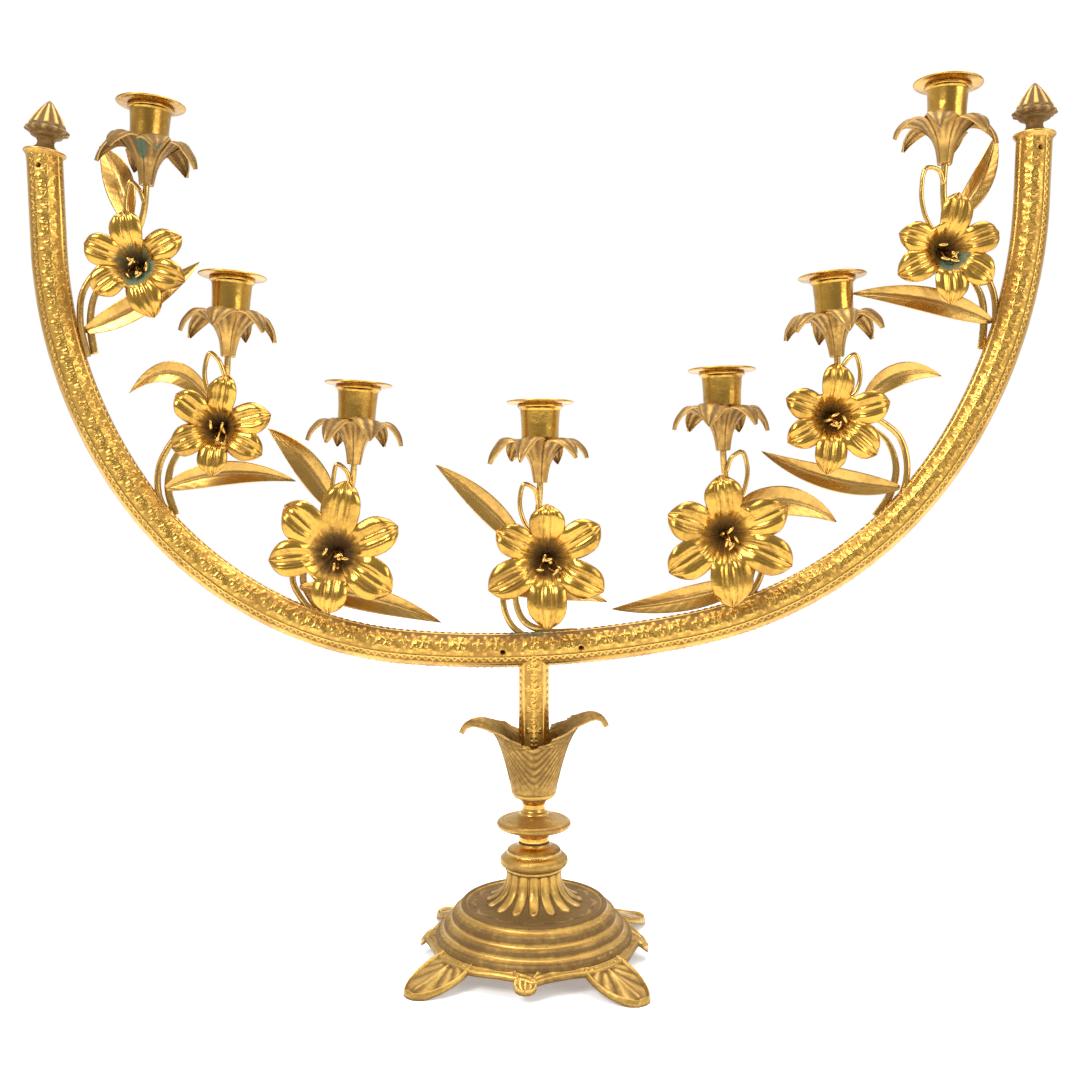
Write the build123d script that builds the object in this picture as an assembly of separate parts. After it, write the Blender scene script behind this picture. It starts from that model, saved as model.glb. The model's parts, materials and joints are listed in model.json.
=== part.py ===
from build123d import *
import math
import os

# Seven-light candelabrum: a hand-bent bow on a turned stem, with seven lily branches.
# Millimetres.  X runs along the bow, Z is up, -Y is the front.
# Origin: where the stem's axis meets the surface that the feet stand on.

# ---------------------------------------------------------------- driving dimensions

# bow: a round tube bent as a chain of tangent arcs (radius, degrees of turn)
BOW_R = 11.6
BOW_WALL = 1.2
BOW_CENTRE_Z = 198.7
BOW_TILT = 2.8              # rise of the bow at its middle, degrees
LEFT_ARCS = [(622.0, 7.6), (243.0, 49.7), (300.0, 32.7)]
RIGHT_ARCS = [(671.0, 9.0), (262.5, 46.5), (333.5, 29.1)]
LEFT_STRAIGHT = 62.0
RIGHT_STRAIGHT = 43.0
PIN_HOLE_R = 1.25
PIN_HOLES_FROM_END = 12.0   # along the bow, from each end
PIN_HOLES_FROM_CENTRE = (-20.0, 30.5)

# finials and the caps they screw into: degrees that each leans towards +X
FINIAL_LEAN = {"left": 6.0, "right": 0.5}
CAP_R = 13.2
CAP_THICK = 2.0
CAP_PLUG = 9.0
END_TRIM = 2.5              # cut off each end of the bow, square to its finial
FINIAL_STUD_R = 2.5
FINIAL_STUD = 8.0
FINIAL_HEIGHT = 33.0

# running clearances
THREAD_GAP = 0.05           # radial, between a stud and its hole
PLUG_GAP = 0.1              # radial, between a soldered plug and its tube
SEAT_GAP = 0.2              # between faces that turn on each other

# stem and the tie rod that clamps the stand together
STEM_R = 10.3
STEM_WALL = 1.2
STEM_FOOT_Z = 110.0
ROD_R = 4.0
ROD_BORE_R = 4.3
ROD_FOOT_Z = 13.0
ROD_TOP_Z = 132.0
PLUG_HEIGHT = 26.0
SADDLE_FOOT_Z = 168.0

# turned stand
DOME_TOP_Z = 36.0
BELL_TOP_Z = 74.0
DISC_TOP_Z = 103.0
CUP_FLOOR_Z = 107.5
BASE_TURN = -4.0            # degrees that the foot stands turned from the bow
FOOT_COUNT = 4
FOOT_REACH = 100.0
FOOT_HALF_WIDTH = 15.5
BRACKET_REACH = 74.0
APRON_REACH = 68.0
BRACKET_HALF_WIDTH = 8.5

# candle socket, measured down from the top of its flange
SOCKET_FLANGE_R = 22.0
SOCKET_BORE_R = 11.25
SOCKET_BORE_DEPTH = 24.0
SOCKET_FLOOR = 1.5
SOCKET_BOSS_R = 5.0
SOCKET_HEIGHT = 36.0
STUD_R = 2.0
STUD_TOP = 21.0             # above the bottom of the calyx

# calyx, measured up from its bottom
FLANGE_ABOVE_CALYX = 53.0
CALYX_FOOT_R = 4.0
CALYX_REACH = 34.5
PETALS = 6

# wires, leaves and lilies
STEM_WIRE_R = 2.1
FLOWER_WIRE_R = 1.5
LEAF_THICK = 0.8
LILY_BACK_Y = -5.0
SMALL_LILY = 33.5
LARGE_LILY = 41.5


class Branch:
    """One light: where its calyx stands, its lean, its wires, its flower and its two leaves."""

    def __init__(self, calyx, lean, stem, loop, flower, size, leaves):
        self.calyx = Vector(calyx[0], 0, calyx[1])
        self.lean = lean
        self.stem = stem
        self.loop = loop
        self.flower = flower
        self.size = size
        self.leaves = leaves


# stem and loop: (x, y, z) bends of the wires, from the bow upwards and from the stem to the flower
# leaves: base, tip, how far the midrib arches upwards, width
BRANCHES = [
    Branch(
        calyx=(-252.0, 500.5), lean=3.3,
        stem=[(-290, 0, 389), (-295, 0, 412), (-294, 1, 430), (-282, 3, 449), (-263, 4, 464), (-255, 2, 481)],
        loop=[
            (-253, -1, 489), (-256, -2, 497), (-261, -3, 502),
            (-264, -3, 492), (-262, -3, 472), (-255, -3, 456),
        ],
        flower=(-252.3, 445.0), size=SMALL_LILY,
        leaves=[((-264, 3, 475), (-293, 27, 534), 5.0, 14.0), ((-294, 3, 406), (-221, 12, 453), -5.0, 16.0)],
    ),
    Branch(
        calyx=(-199.0, 389.0), lean=3.3,
        stem=[(-238, 0, 285), (-244, 0, 300), (-244, 1, 317), (-236, 3, 334), (-216, 4, 352), (-202, 2, 370)],
        loop=[
            (-201, -1, 377), (-204, -2, 385.5), (-209.5, -3, 391),
            (-213, -3, 382), (-211, -3, 366), (-203, -3, 352),
        ],
        flower=(-200.0, 341.5), size=SMALL_LILY,
        leaves=[((-210, 3, 358), (-266, 8, 366), 17.0, 14.0), ((-241, 3, 303), (-157, 12, 308), 8.0, 15.0)],
    ),
    Branch(
        calyx=(-117.0, 319.0), lean=3.3,
        stem=[(-139, 0, 219), (-150, 0, 230), (-157, 1, 243), (-152, 3, 262), (-132, 4, 283), (-120, 2, 301)],
        loop=[
            (-119, -1, 306), (-122, -2, 315), (-127, -3, 319),
            (-130, -3, 309), (-130, -3, 291), (-127, -3, 276),
        ],
        flower=(-125.6, 262.2), size=LARGE_LILY,
        leaves=[((-129, 4, 287), (-176, 12, 343), 5.0, 17.0), ((-153, 3, 239), (-61, 13, 214.5), 4.0, 16.0)],
    ),
    Branch(
        calyx=(4.0, 307.0), lean=0.0,
        stem=[(-3, 0, 205), (-15, 0, 215), (-20, 1, 229), (-15, 3, 246), (-4, 4, 266), (2, 2, 285)],
        loop=[
            (3, -1, 293), (0, -2, 303), (-6, -3, 306),
            (-9, -3, 297), (-6, -3, 281), (4, -3, 269),
        ],
        flower=(8.3, 258.3), size=LARGE_LILY,
        leaves=[((-6, 4, 264), (-65, 10, 319), 3.0, 15.0), ((-18, 3, 236), (49, 13, 228), 5.0, 13.0)],
    ),
    Branch(
        calyx=(123.0, 328.0), lean=-1.1,
        stem=[(132, 0, 225), (144, 0, 239), (149, 1, 252), (144, 3, 272), (131, 4, 292), (125, 2, 310)],
        loop=[
            (125, -1, 314), (128.5, -2, 323.5), (134.5, -3, 327),
            (138, -3, 318), (136, -3, 302), (127, -3, 286),
        ],
        flower=(121.9, 273.8), size=LARGE_LILY,
        leaves=[((136, 4, 286), (200, 12, 281), 17.0, 17.0), ((143, 3, 244), (51, 13, 223.5), -3.0, 15.0)],
    ),
    Branch(
        calyx=(197.0, 389.0), lean=-3.3,
        stem=[(228, 0, 284), (239, 0, 299), (243, 1, 316), (239, 3, 336), (219, 4, 353), (200, 2, 370)],
        loop=[
            (199, -1, 376), (202, -2, 385.5), (207.5, -3, 390),
            (211, -3, 381), (209, -3, 367), (198, -3, 357),
        ],
        flower=(189.6, 348.3), size=SMALL_LILY,
        leaves=[((216, 4, 360), (268, 8, 377), 10.0, 14.0), ((239, 3, 304), (150, 12, 328), -6.0, 15.0)],
    ),
    Branch(
        calyx=(267.0, 514.0), lean=2.5,
        stem=[(297, 0, 394), (300, 0, 413), (299, 1, 431), (289, 3, 451), (272, 4, 471), (267, 2, 494)],
        loop=[
            (266, -1, 501), (262.5, -2, 509.5), (255, -3, 511),
            (251, -3, 497), (253, -3, 481), (260, -3, 466),
        ],
        flower=(261.2, 453.7), size=SMALL_LILY,
        leaves=[((272, 4, 477), (311, 27, 543), -5.0, 14.0), ((299, 3, 412), (209, 12, 432), 5.0, 16.0)],
    ),
]


# ---------------------------------------------------------------- small helpers

def write(shape, node):
    """One STEP per node."""
    export_step(shape, os.path.join("parts", node + ".step"))


def turned(points):
    """A solid of revolution about Z from (radius, height) corners."""
    outline = make_face(Polyline(*[(r, 0, z) for r, z in points], close=True))
    return revolve(outline, Axis.Z)


def bent_wire(points, radius):
    """A round wire along straight runs joined by arcs as large as the runs allow."""
    corners = [Vector(*p) for p in points]
    bends = []
    for before, at, after in zip(corners, corners[1:], corners[2:]):
        turn = math.radians((at - before).get_angle(after - at))
        run = min((at - before).length, (after - at).length)
        bends.append(0.45 * run / math.tan(turn / 2))
    path = FilletPolyline(*corners, radius=bends)
    start = Plane(origin=path @ 0, z_dir=path % 0)
    return sweep(start * Circle(radius), path=path)


def petal_star(count, reach, waist, first=90.0):
    """A flower's outline seen along its axis: count pointed petals that meet at the waist."""
    step = 360.0 / count
    edges = []
    for i in range(count):
        middle = first + i * step
        valley_in = Vector(waist, 0).rotate(Axis.Z, middle - step / 2)
        valley_out = Vector(waist, 0).rotate(Axis.Z, middle + step / 2)
        tip = Vector(reach, 0).rotate(Axis.Z, middle)
        belly = Vector(0.66 * reach, 0)
        spread = 0.37 * step
        edges.append(ThreePointArc(valley_in, belly.rotate(Axis.Z, middle - spread), tip))
        edges.append(ThreePointArc(tip, belly.rotate(Axis.Z, middle + spread), valley_out))
    return make_face(edges)


# ---------------------------------------------------------------- bow

def bow_side(heading, turn, arcs, straight):
    """One half of the bow's centreline in its own plane: arcs from the middle, then a straight."""
    at = Vector(0, BOW_CENTRE_Z)
    edges = []
    for radius, degrees in arcs:
        along = (math.cos(math.radians(heading)), math.sin(math.radians(heading)))
        arc = JernArc(at, along, radius, turn * degrees)
        edges.append(arc)
        at = arc @ 1
        heading += turn * degrees
    along = Vector(math.cos(math.radians(heading)), math.sin(math.radians(heading)))
    edges.append(Line(at, at + along * straight))
    return edges, at + along * straight, along


def in_bow_plane(v):
    """A point or direction of the bow's plane, in space."""
    return Vector(v.X, 0, v.Y)


LEFT_EDGES, LEFT_END, LEFT_ALONG = bow_side(180 + BOW_TILT, -1, LEFT_ARCS, LEFT_STRAIGHT)
RIGHT_EDGES, RIGHT_END, RIGHT_ALONG = bow_side(BOW_TILT, 1, RIGHT_ARCS, RIGHT_STRAIGHT)
ENDS = {
    "left": (in_bow_plane(LEFT_END), in_bow_plane(LEFT_ALONG)),
    "right": (in_bow_plane(RIGHT_END), in_bow_plane(RIGHT_ALONG)),
}


def bow_half(edges, radius):
    """One half of the bow as a solid bar, swept from the middle to the end."""
    path = Wire([Plane.XZ * edge for edge in edges])
    start = Plane(origin=path @ 0, x_dir=(0, 1, 0), z_dir=path % 0)
    return sweep(start * Circle(radius), path=path)


def bow_bar(radius):
    """The whole bow as a solid round bar."""
    return bow_half(LEFT_EDGES, radius) + bow_half(RIGHT_EDGES, radius)


def beyond(plane):
    """A block that fills everything past the end of the bow."""
    size = 6 * BOW_R
    return plane * Pos(0, 0, size / 2) * Box(size, size, size)


def finial_axis(side):
    """Direction of a finial, leaning in the plane of the bow."""
    lean = math.radians(FINIAL_LEAN[side])
    return Vector(math.sin(lean), 0, math.cos(lean))


def bow_end(side):
    """The plane that trims an end of the bow: its origin is on the centreline."""
    end, along = ENDS[side]
    return Plane(origin=end - along * END_TRIM, x_dir=(0, 1, 0), z_dir=finial_axis(side))


def pin_holes():
    """Small holes in the front band: one near each end and two near the middle."""
    holes = []
    for end, along in ENDS.values():
        holes.append(end - along * PIN_HOLES_FROM_END)
    two_radii = LEFT_ARCS[0][0] + RIGHT_ARCS[0][0]
    for x in PIN_HOLES_FROM_CENTRE:
        rise = math.tan(math.radians(BOW_TILT)) * x + x * x / two_radii
        holes.append(Vector(x, 0, BOW_CENTRE_Z + rise))
    drill = Cylinder(PIN_HOLE_R, BOW_R, rotation=(90, 0, 0))
    return [Pos(h.X, -BOW_R, h.Z) * drill for h in holes]


def bow_tube():
    """The tube, trimmed at both ends, with its four pin holes."""
    tube = bow_bar(BOW_R) - bow_bar(BOW_R - BOW_WALL)
    for side in ENDS:
        tube -= beyond(bow_end(side))
    for hole in pin_holes():
        tube -= hole
    return tube


def end_cap(side):
    """A round plate on a plug, with the threaded hole of the finial."""
    end, along = ENDS[side]
    top = bow_end(side)
    plate = Pos(0, 0, CAP_THICK / 2) * Cylinder(CAP_R, CAP_THICK)
    foot = Plane(origin=end - along * (CAP_PLUG + END_TRIM), z_dir=along)
    plug = extrude(foot * Circle(BOW_R - BOW_WALL - PLUG_GAP), CAP_PLUG + 2 * END_TRIM) - beyond(top)
    hole = Cylinder(FINIAL_STUD_R + THREAD_GAP, 2 * (FINIAL_STUD + 1))
    return (top * plate + plug) - top * Pos(0, 0, CAP_THICK) * hole


def finial(side):
    """Spool neck, leaf collar and pointed cone on a threaded stud."""
    body = turned([
        (0, 0), (8.8, 0), (8.8, 1.2), (6.6, 2.2), (5.4, 5.4), (6.2, 8.6), (10.3, 12.0),
        (13.8, 13.4), (14.2, 15.0), (11.6, 18.0), (10.6, 21.0), (5.4, 28.2),
        (1.4, FINIAL_HEIGHT - 0.6), (0, FINIAL_HEIGHT),
    ])
    stud = Pos(0, 0, -FINIAL_STUD / 2) * Cylinder(FINIAL_STUD_R, FINIAL_STUD)
    return bow_end(side) * Pos(0, 0, CAP_THICK + SEAT_GAP) * (body + stud)


# ---------------------------------------------------------------- stem

def stem_tube(bow):
    """The stem, cut at the top to the underside of the bow."""
    height = BOW_CENTRE_Z - STEM_FOOT_Z
    ring = Circle(STEM_R) - Circle(STEM_R - STEM_WALL)
    return Pos(0, 0, STEM_FOOT_Z) * extrude(ring, height) - bow


def stem_plug():
    """The threaded plug in the foot of the stem, which the tie rod draws down."""
    ring = Circle(STEM_R - STEM_WALL) - Circle(ROD_R + THREAD_GAP)
    return Pos(0, 0, STEM_FOOT_Z) * extrude(ring, PLUG_HEIGHT)


def stem_saddle(bow):
    """The plug in the head of the stem, shaped to the underside of the bow."""
    disc = Circle(STEM_R - STEM_WALL)
    return Pos(0, 0, SADDLE_FOOT_Z) * extrude(disc, BOW_CENTRE_Z - SADDLE_FOOT_Z) - bow


# ---------------------------------------------------------------- stand

def foot_plan():
    """The feet seen from above: palmettes and, between them, small brackets."""
    step = 360.0 / FOOT_COUNT
    plan = Circle(APRON_REACH)
    for i in range(FOOT_COUNT):
        palmette = Pos(FOOT_REACH - 22, 0) * Ellipse(22, FOOT_HALF_WIDTH)
        neck = Pos(55, 0) * Rectangle(40, 1.5 * FOOT_HALF_WIDTH)
        bracket = Pos(BRACKET_REACH - 12, 0) * Ellipse(12, BRACKET_HALF_WIDTH)
        plan += Rot(0, 0, step / 2 + i * step) * (palmette + neck)
        plan += Rot(0, 0, i * step) * bracket
    return plan


def foot_casting():
    """Moulded dome, hollow underneath, on four palmette feet."""
    dome = turned([
        (ROD_BORE_R, 31), (ROD_BORE_R, DOME_TOP_Z), (31, DOME_TOP_Z), (45, 35.6), (47.5, 33.8),
        (47.5, 32), (50, 30.5), (52.5, 29.5), (53.5, 27), (53, 25), (56, 23.6), (58.5, 22),
        (58.8, 20), (61, 18.8), (63.8, 17), (64, 14), (61.5, 12), (57, 12),
        (54, 18), (48, 24), (42, 28), (36, 31),
    ])
    skirt = turned([
        (54, 12.2), (54, 16.5), (64, 14.2), (74, 10.5), (86, 6.6), (96, 4.0), (FOOT_REACH + 2, 2.6),
        (FOOT_REACH + 2, 0), (90, 0), (84, 2.4), (72, 6.4), (62, 10.2),
    ])
    feet = skirt & extrude(foot_plan(), DOME_TOP_Z)
    return Rot(0, 0, BASE_TURN) * (dome + feet)


def fluted_bell():
    """Bell with its collar: flares onto the dome and carries the knop disc."""
    return turned([
        (ROD_BORE_R, DOME_TOP_Z), (ROD_BORE_R, BELL_TOP_Z), (9.7, BELL_TOP_Z), (10.4, 71.5),
        (16.6, 69.4), (17.2, 67.4), (21.2, 64.8), (22.4, 62), (21.2, 59.4), (18.2, 58),
        (18.4, 55.6), (17.0, 54), (17.6, 49), (20.5, 43), (26, 38), (30, DOME_TOP_Z),
    ])


def knop_disc():
    """Turned spool with a flat disc."""
    return turned([
        (ROD_BORE_R, BELL_TOP_Z), (ROD_BORE_R, DISC_TOP_Z), (8.6, DISC_TOP_Z), (7.4, 98),
        (8.4, 93), (13, 90), (21, 88.6), (23.8, 87.6), (24.2, 85.4), (23, 83.4),
        (14, 81.6), (11, 78.5), (9.8, BELL_TOP_Z),
    ])


def acanthus_cup():
    """Cast cup: two large leaves curl out to the left and right, low in front and behind."""
    wall = turned([
        (ROD_BORE_R, DISC_TOP_Z), (13, DISC_TOP_Z), (14.4, 106), (13.6, 109), (15, 118), (18.5, 130),
        (22.5, 141), (29.5, 150.5), (35.5, 155.6), (41, 155.2), (46.4, 149.2), (48.5, 149),
        (46.4, 155.4), (42, 158.6), (35, 159), (27.8, 152.6), (20.8, 142.5), (16.8, 130.5),
        (13.4, 118), (12.1, 112), (12.1, CUP_FLOOR_Z), (ROD_BORE_R, CUP_FLOOR_Z),
    ])
    notch = make_face(Polyline((0, 136), (34, 170), (-34, 170), close=True))
    gap = extrude(Plane.XZ * notch, 60, both=True)
    plan = make_face([
        ThreePointArc((-52, 0), (0, -25), (52, 0)),
        ThreePointArc((52, 0), (0, 25), (-52, 0)),
    ])
    leaves = extrude(plan, 200, dir=(0, 0, 1))
    return (wall - gap) & leaves


def tie_rod():
    """The rod through the whole stand."""
    length = ROD_TOP_Z - ROD_FOOT_Z
    return Pos(0, 0, ROD_FOOT_Z + length / 2) * Cylinder(ROD_R, length)


def foot_washer():
    return Pos(0, 0, 30) * (Cylinder(14, 2) - Cylinder(ROD_BORE_R, 3))


def foot_nut():
    nut = extrude(RegularPolygon(7.5, 6), 7) - Cylinder(ROD_R + 0.02, 20)
    return Pos(0, 0, 22) * nut


# ---------------------------------------------------------------- branches

def upright(branch):
    """Place of the calyx and socket: at the bottom of the calyx, leaning in the bow's plane."""
    return Pos(branch.calyx.X, 0, branch.calyx.Z) * Rot(0, branch.lean, 0)


def candle_socket():
    """Flanged cup with a straight bore for the candle and a boss for the stud."""
    top = FLANGE_ABOVE_CALYX
    floor = top - SOCKET_BORE_DEPTH
    foot = top - SOCKET_HEIGHT
    return turned([
        (0, foot + 5.5), (STUD_R + THREAD_GAP, foot + 5.5), (STUD_R + THREAD_GAP, foot),
        (SOCKET_BOSS_R, foot), (SOCKET_BOSS_R, foot + 4), (11.6, floor - SOCKET_FLOOR + 0.4), (12.1, floor),
        (13.1, top - 5), (14.6, top - 4), (14.6, top - 2.6), (20.5, top - 2.0), (SOCKET_FLANGE_R, top - 1.2),
        (SOCKET_FLANGE_R, top - 0.2), (21, top), (15.5, top - 0.6), (12.6, top), (SOCKET_BORE_R, top),
        (SOCKET_BORE_R, floor), (0, floor),
    ])


def calyx():
    """Trumpet with a drooping lip, cut into six petals."""
    trumpet = turned([
        (STUD_R + THREAD_GAP, 0), (CALYX_FOOT_R, 0), (4.6, 5), (6.2, 12), (8.4, 18), (11.4, 23),
        (13.4, 26.4), (16.0, 28.8), (20.2, 30.4), (24.2, 30.1), (28.7, 26.6), (32.3, 21), (33.4, 16),
        (CALYX_REACH, 16), (33.4, 21.4), (29.6, 27.6), (24.6, 31.2), (20.0, 31.4), (15.5, 29.9),
        (12.6, 27.4), (10.6, 24), (7.6, 19), (5.6, 13.5), (STUD_R + THREAD_GAP, 13.5),
    ])
    return trumpet & extrude(petal_star(PETALS, CALYX_REACH + 1, 15.5), 40, dir=(0, 0, 1))


def branch_stem(branch):
    """The main wire, from inside the bow to the calyx, with the stud at its top."""
    foot = upright(branch) * Pos(0, 0, -0.2)
    wire = bent_wire(branch.stem + [tuple(foot.position)], STEM_WIRE_R)
    stud = upright(branch) * Pos(0, 0, STUD_TOP / 2 - 0.6) * Cylinder(STUD_R, STUD_TOP + 1.2)
    return wire + stud


def flower_stem(branch):
    """The thin wire that loops from the main stem to the back of the flower."""
    x, z = branch.flower
    return bent_wire(branch.loop + [(x, LILY_BACK_Y - 1.5, z)], FLOWER_WIRE_R)


def facing_front(branch):
    """Place of a flower: its axis points to the front, one petal points up."""
    x, z = branch.flower
    return Location((x, LILY_BACK_Y, z), (90, 0, 0))


def lily(branch):
    """Six-petal funnel; the throat's back is at the flower wire."""
    k = branch.size / SMALL_LILY
    funnel = turned([
        (0, 0), (3, 0), (4.6 * k, 6), (8.2 * k, 13), (14 * k, 19), (22 * k, 22.4), (29 * k, 22.6),
        (branch.size, 20.6), (branch.size, 21.4), (29 * k, 23.6), (22 * k, 23.4), (13.4 * k, 20),
        (7.4 * k, 13.4), (3.8 * k, 6.6), (2.4, 1.6), (0, 1.6),
    ])
    shell = funnel & extrude(petal_star(PETALS, branch.size + 1, 0.45 * branch.size), 40, dir=(0, 0, 1))
    return facing_front(branch) * shell


def stamen_bunch(branch):
    """Five stamens around a knobbed pistil, standing in the throat."""
    bunch = Pos(0, 0, 9.6) * Cylinder(0.8, 16) + Pos(0, 0, 18) * Sphere(1.6)
    for i in range(5):
        filament = Rot(0, 0, 72 * i) * Rot(0, 18, 0)
        bunch += filament * Pos(0, 0, 9) * Cylinder(0.5, 15.5)
        bunch += filament * Pos(0, 0, 17) * Cylinder(1.0, 3.4)
    return facing_front(branch) * Pos(0, 0, 1.0) * (bunch - Pos(0, 0, -4.35) * Box(20, 20, 10))


def leaf(base, tip, arch, width):
    """A pointed plate from base to tip whose midrib arches upwards."""
    base = Vector(*base)
    tip = Vector(*tip)
    along = (tip - base).normalized()
    front = Vector(0, -1, 0)
    normal = (front - along * front.dot(along)).normalized()
    rise = arch if along.X > 0 else -arch
    length = (tip - base).length
    outline = make_face([
        ThreePointArc((0, 0), (length / 2, rise + width / 2), (length, 0)),
        ThreePointArc((length, 0), (length / 2, rise - width / 2), (0, 0)),
    ])
    return Plane(origin=base, x_dir=along, z_dir=normal) * extrude(outline, LEAF_THICK / 2, both=True)


# ---------------------------------------------------------------- the parts

os.makedirs("parts", exist_ok=True)

solid_bow = bow_bar(BOW_R)
write(bow_tube(), "bow_tube")
for side in ENDS:
    write(end_cap(side), "end_cap_" + side)
    write(finial(side), "finial_" + side)

write(stem_tube(solid_bow), "stem_tube")
write(stem_plug(), "stem_plug")
write(stem_saddle(solid_bow), "stem_saddle")
write(foot_casting(), "foot_casting")
write(fluted_bell(), "fluted_bell")
write(knop_disc(), "knop_disc")
write(acanthus_cup(), "acanthus_cup")
write(tie_rod(), "tie_rod")
write(foot_washer(), "foot_washer")
write(foot_nut(), "foot_nut")

for number, branch in enumerate(BRANCHES, start=1):
    write(upright(branch) * candle_socket(), f"candle_socket_{number}")
    write(upright(branch) * calyx(), f"calyx_{number}")
    write(branch_stem(branch), f"branch_stem_{number}")
    write(flower_stem(branch), f"flower_stem_{number}")
    write(lily(branch), f"lily_{number}")
    write(Compound(children=[leaf(*values) for values in branch.leaves]), f"leaves_{number}")

write(Compound(children=[stamen_bunch(branch) for branch in BRANCHES]), "stamen_bunches")
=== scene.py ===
"""Looks of a gilt brass candelabrum: a stamped bow on a cast stand, with seven lily lights.

Lengths are millimetres until a skin becomes a mesh.  X runs along the bow, Z is up and -Y is the front.
Every skin is a lattice of points worked out from two parameters and closed on itself, with three marks
at each point: hollow, which darkens the gold with brown patina and with painted shade in recesses, under
things and between parts; the wear mark, where an edge is rubbed bright and where highlights are painted
on ridges; green, verdigris.
"""
import json
import math

import bpy
import numpy as np
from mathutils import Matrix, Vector


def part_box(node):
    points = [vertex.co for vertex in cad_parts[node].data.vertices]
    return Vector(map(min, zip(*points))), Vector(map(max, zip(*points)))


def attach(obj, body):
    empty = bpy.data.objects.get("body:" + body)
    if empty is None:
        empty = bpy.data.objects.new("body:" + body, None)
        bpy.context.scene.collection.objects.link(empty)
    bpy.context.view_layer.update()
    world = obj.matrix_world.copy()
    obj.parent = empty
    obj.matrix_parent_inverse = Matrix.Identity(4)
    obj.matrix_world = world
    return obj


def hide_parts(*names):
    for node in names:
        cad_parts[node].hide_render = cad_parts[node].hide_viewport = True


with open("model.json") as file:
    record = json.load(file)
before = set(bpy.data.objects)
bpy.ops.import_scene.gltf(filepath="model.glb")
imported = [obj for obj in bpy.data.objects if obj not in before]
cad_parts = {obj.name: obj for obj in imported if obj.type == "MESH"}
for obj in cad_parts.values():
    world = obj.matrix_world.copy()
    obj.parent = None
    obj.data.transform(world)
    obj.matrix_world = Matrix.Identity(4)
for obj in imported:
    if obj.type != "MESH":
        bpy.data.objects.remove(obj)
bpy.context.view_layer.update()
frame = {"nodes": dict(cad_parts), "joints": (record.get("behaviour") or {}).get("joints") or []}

JOINTS = {joint["name"]: joint for joint in frame["joints"]}
MM = 0.001
TURN = 2 * math.pi
FORWARD = np.array([0.0, -1.0, 0.0])
BACKWARD = np.array([0.0, 1.0, 0.0])

# ---------------------------------------------------------------- sizes

# bow: each half's centreline is three tangent arcs (radius, degrees of turn) and then a straight
BOW_R = 11.1                # ground of the stamped strip; its relief rises to the bar's own radius
BOW_CENTRE_Z = 198.7
BOW_TILT = 2.8
BOW_HALVES = {
    "left": (-1, [(622.0, 7.6), (243.0, 49.7), (300.0, 32.7)], 62.0),
    "right": (1, [(671.0, 9.0), (262.5, 46.5), (333.5, 29.1)], 43.0),
}
PIN_HOLES = {"left": 20.0, "right": 30.5}          # along the bow from its middle
PIN_FROM_END = 12.0
PIN_R = 1.4
PIN_DEPTH = 7.0

# the bow's ornament: bands around the bar, as angles from the front towards the inner side
CROSS_BAND = math.radians(27)
CROSS_HALF = 8.6            # from the band's middle to its rail
CROSS_PITCH = 23.8
CROSS_ARM = 5.7
ZIGZAG_BAND = math.radians(-63)
ZIGZAG_FROM_MIDDLE = 7.2
ZIGZAG_PITCH = 4.6
ZIGZAG_SWING = 1.4

STEM_R = 9.9
STEM_FOOT_Z = 110.0
STEM_TOP_Z = BOW_CENTRE_Z - 4
STEM_HALF = 6.9             # from the middle of the flower band to its rail
STEM_PITCH = 13.5
STEM_BEAD = 4.6             # the beads' pitch, and how far they stand from the middle of the side

CAP_R = 13.2
CAP_THICK = 2.0
FINIAL_HEIGHT = 33.0
FINIAL_GREEN = {"left": 0.9, "right": 0.3}

BASE_TURN = math.radians(-4)
DOME_EDGE = 52.0            # where the feet and the brim start, under the dome
BRIM_ROWS = 31
FOOT_REACH = 100.0
BRACKET_START = 57.0
BRACKET_REACH = 74.0
FAN_START = 62.0            # where a foot's fan of lobes opens
TONGUES = 16
DISH_LEAVES = 12

FLANGE_ABOVE_CALYX = 53.0
WIRE_R = 2.1
THIN_WIRE_R = 1.5
RIBBON_WIDTH = 5.2
RIBBON_THICK = 1.3

# how far behind the bow's middle plane a light's wires run, point by point
STEM_DEPTHS = (0, 0, 1, 3, 4, 2)
LOOP_DEPTHS = (-1, -2, -3, -3, -3, -3)
RIBBON_DEPTHS = (3, 4, 5, 6, 6, 6)


def behind(line, depths):
    """The points of an (X, Z) line, each with its own depth as Y."""
    return [(x, y, z) for (x, z), y in zip(line, depths)]


class Light:
    """One light: its wires' bends as (X, Z), its two leaves, and its lily's petals as (degrees, reach).

    A leaf is its base, its tip, how far the midrib arches upwards, its width and its twist in degrees.
    throat is how dark the lily's throat is, with patina and painted shade, sepals how many degrees the calyx
    is turned, and green how much verdigris there is on the calyx and on the lily.
    """

    def __init__(self, number, stem, loop, ribbon, leaves, petals, throat, sepals, green):
        self.number = number
        self.stem = behind(stem, STEM_DEPTHS)
        self.loop = behind(loop, LOOP_DEPTHS)
        self.ribbon = behind(ribbon, RIBBON_DEPTHS)
        self.leaves = leaves
        self.petals = petals
        self.throat = throat
        self.sepals = math.radians(90 + sepals)
        self.green_calyx, self.green_lily = green
        joint = JOINTS[f"socket_turn_{number}"]
        self.foot = np.array(joint["pos_m"]) / MM
        self.axis = np.array(joint["axis"])
        low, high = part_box(f"lily_{number}")
        self.flower = np.array([(low.x + high.x) / 2, high.y, (low.z + high.z) / 2]) / MM


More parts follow.
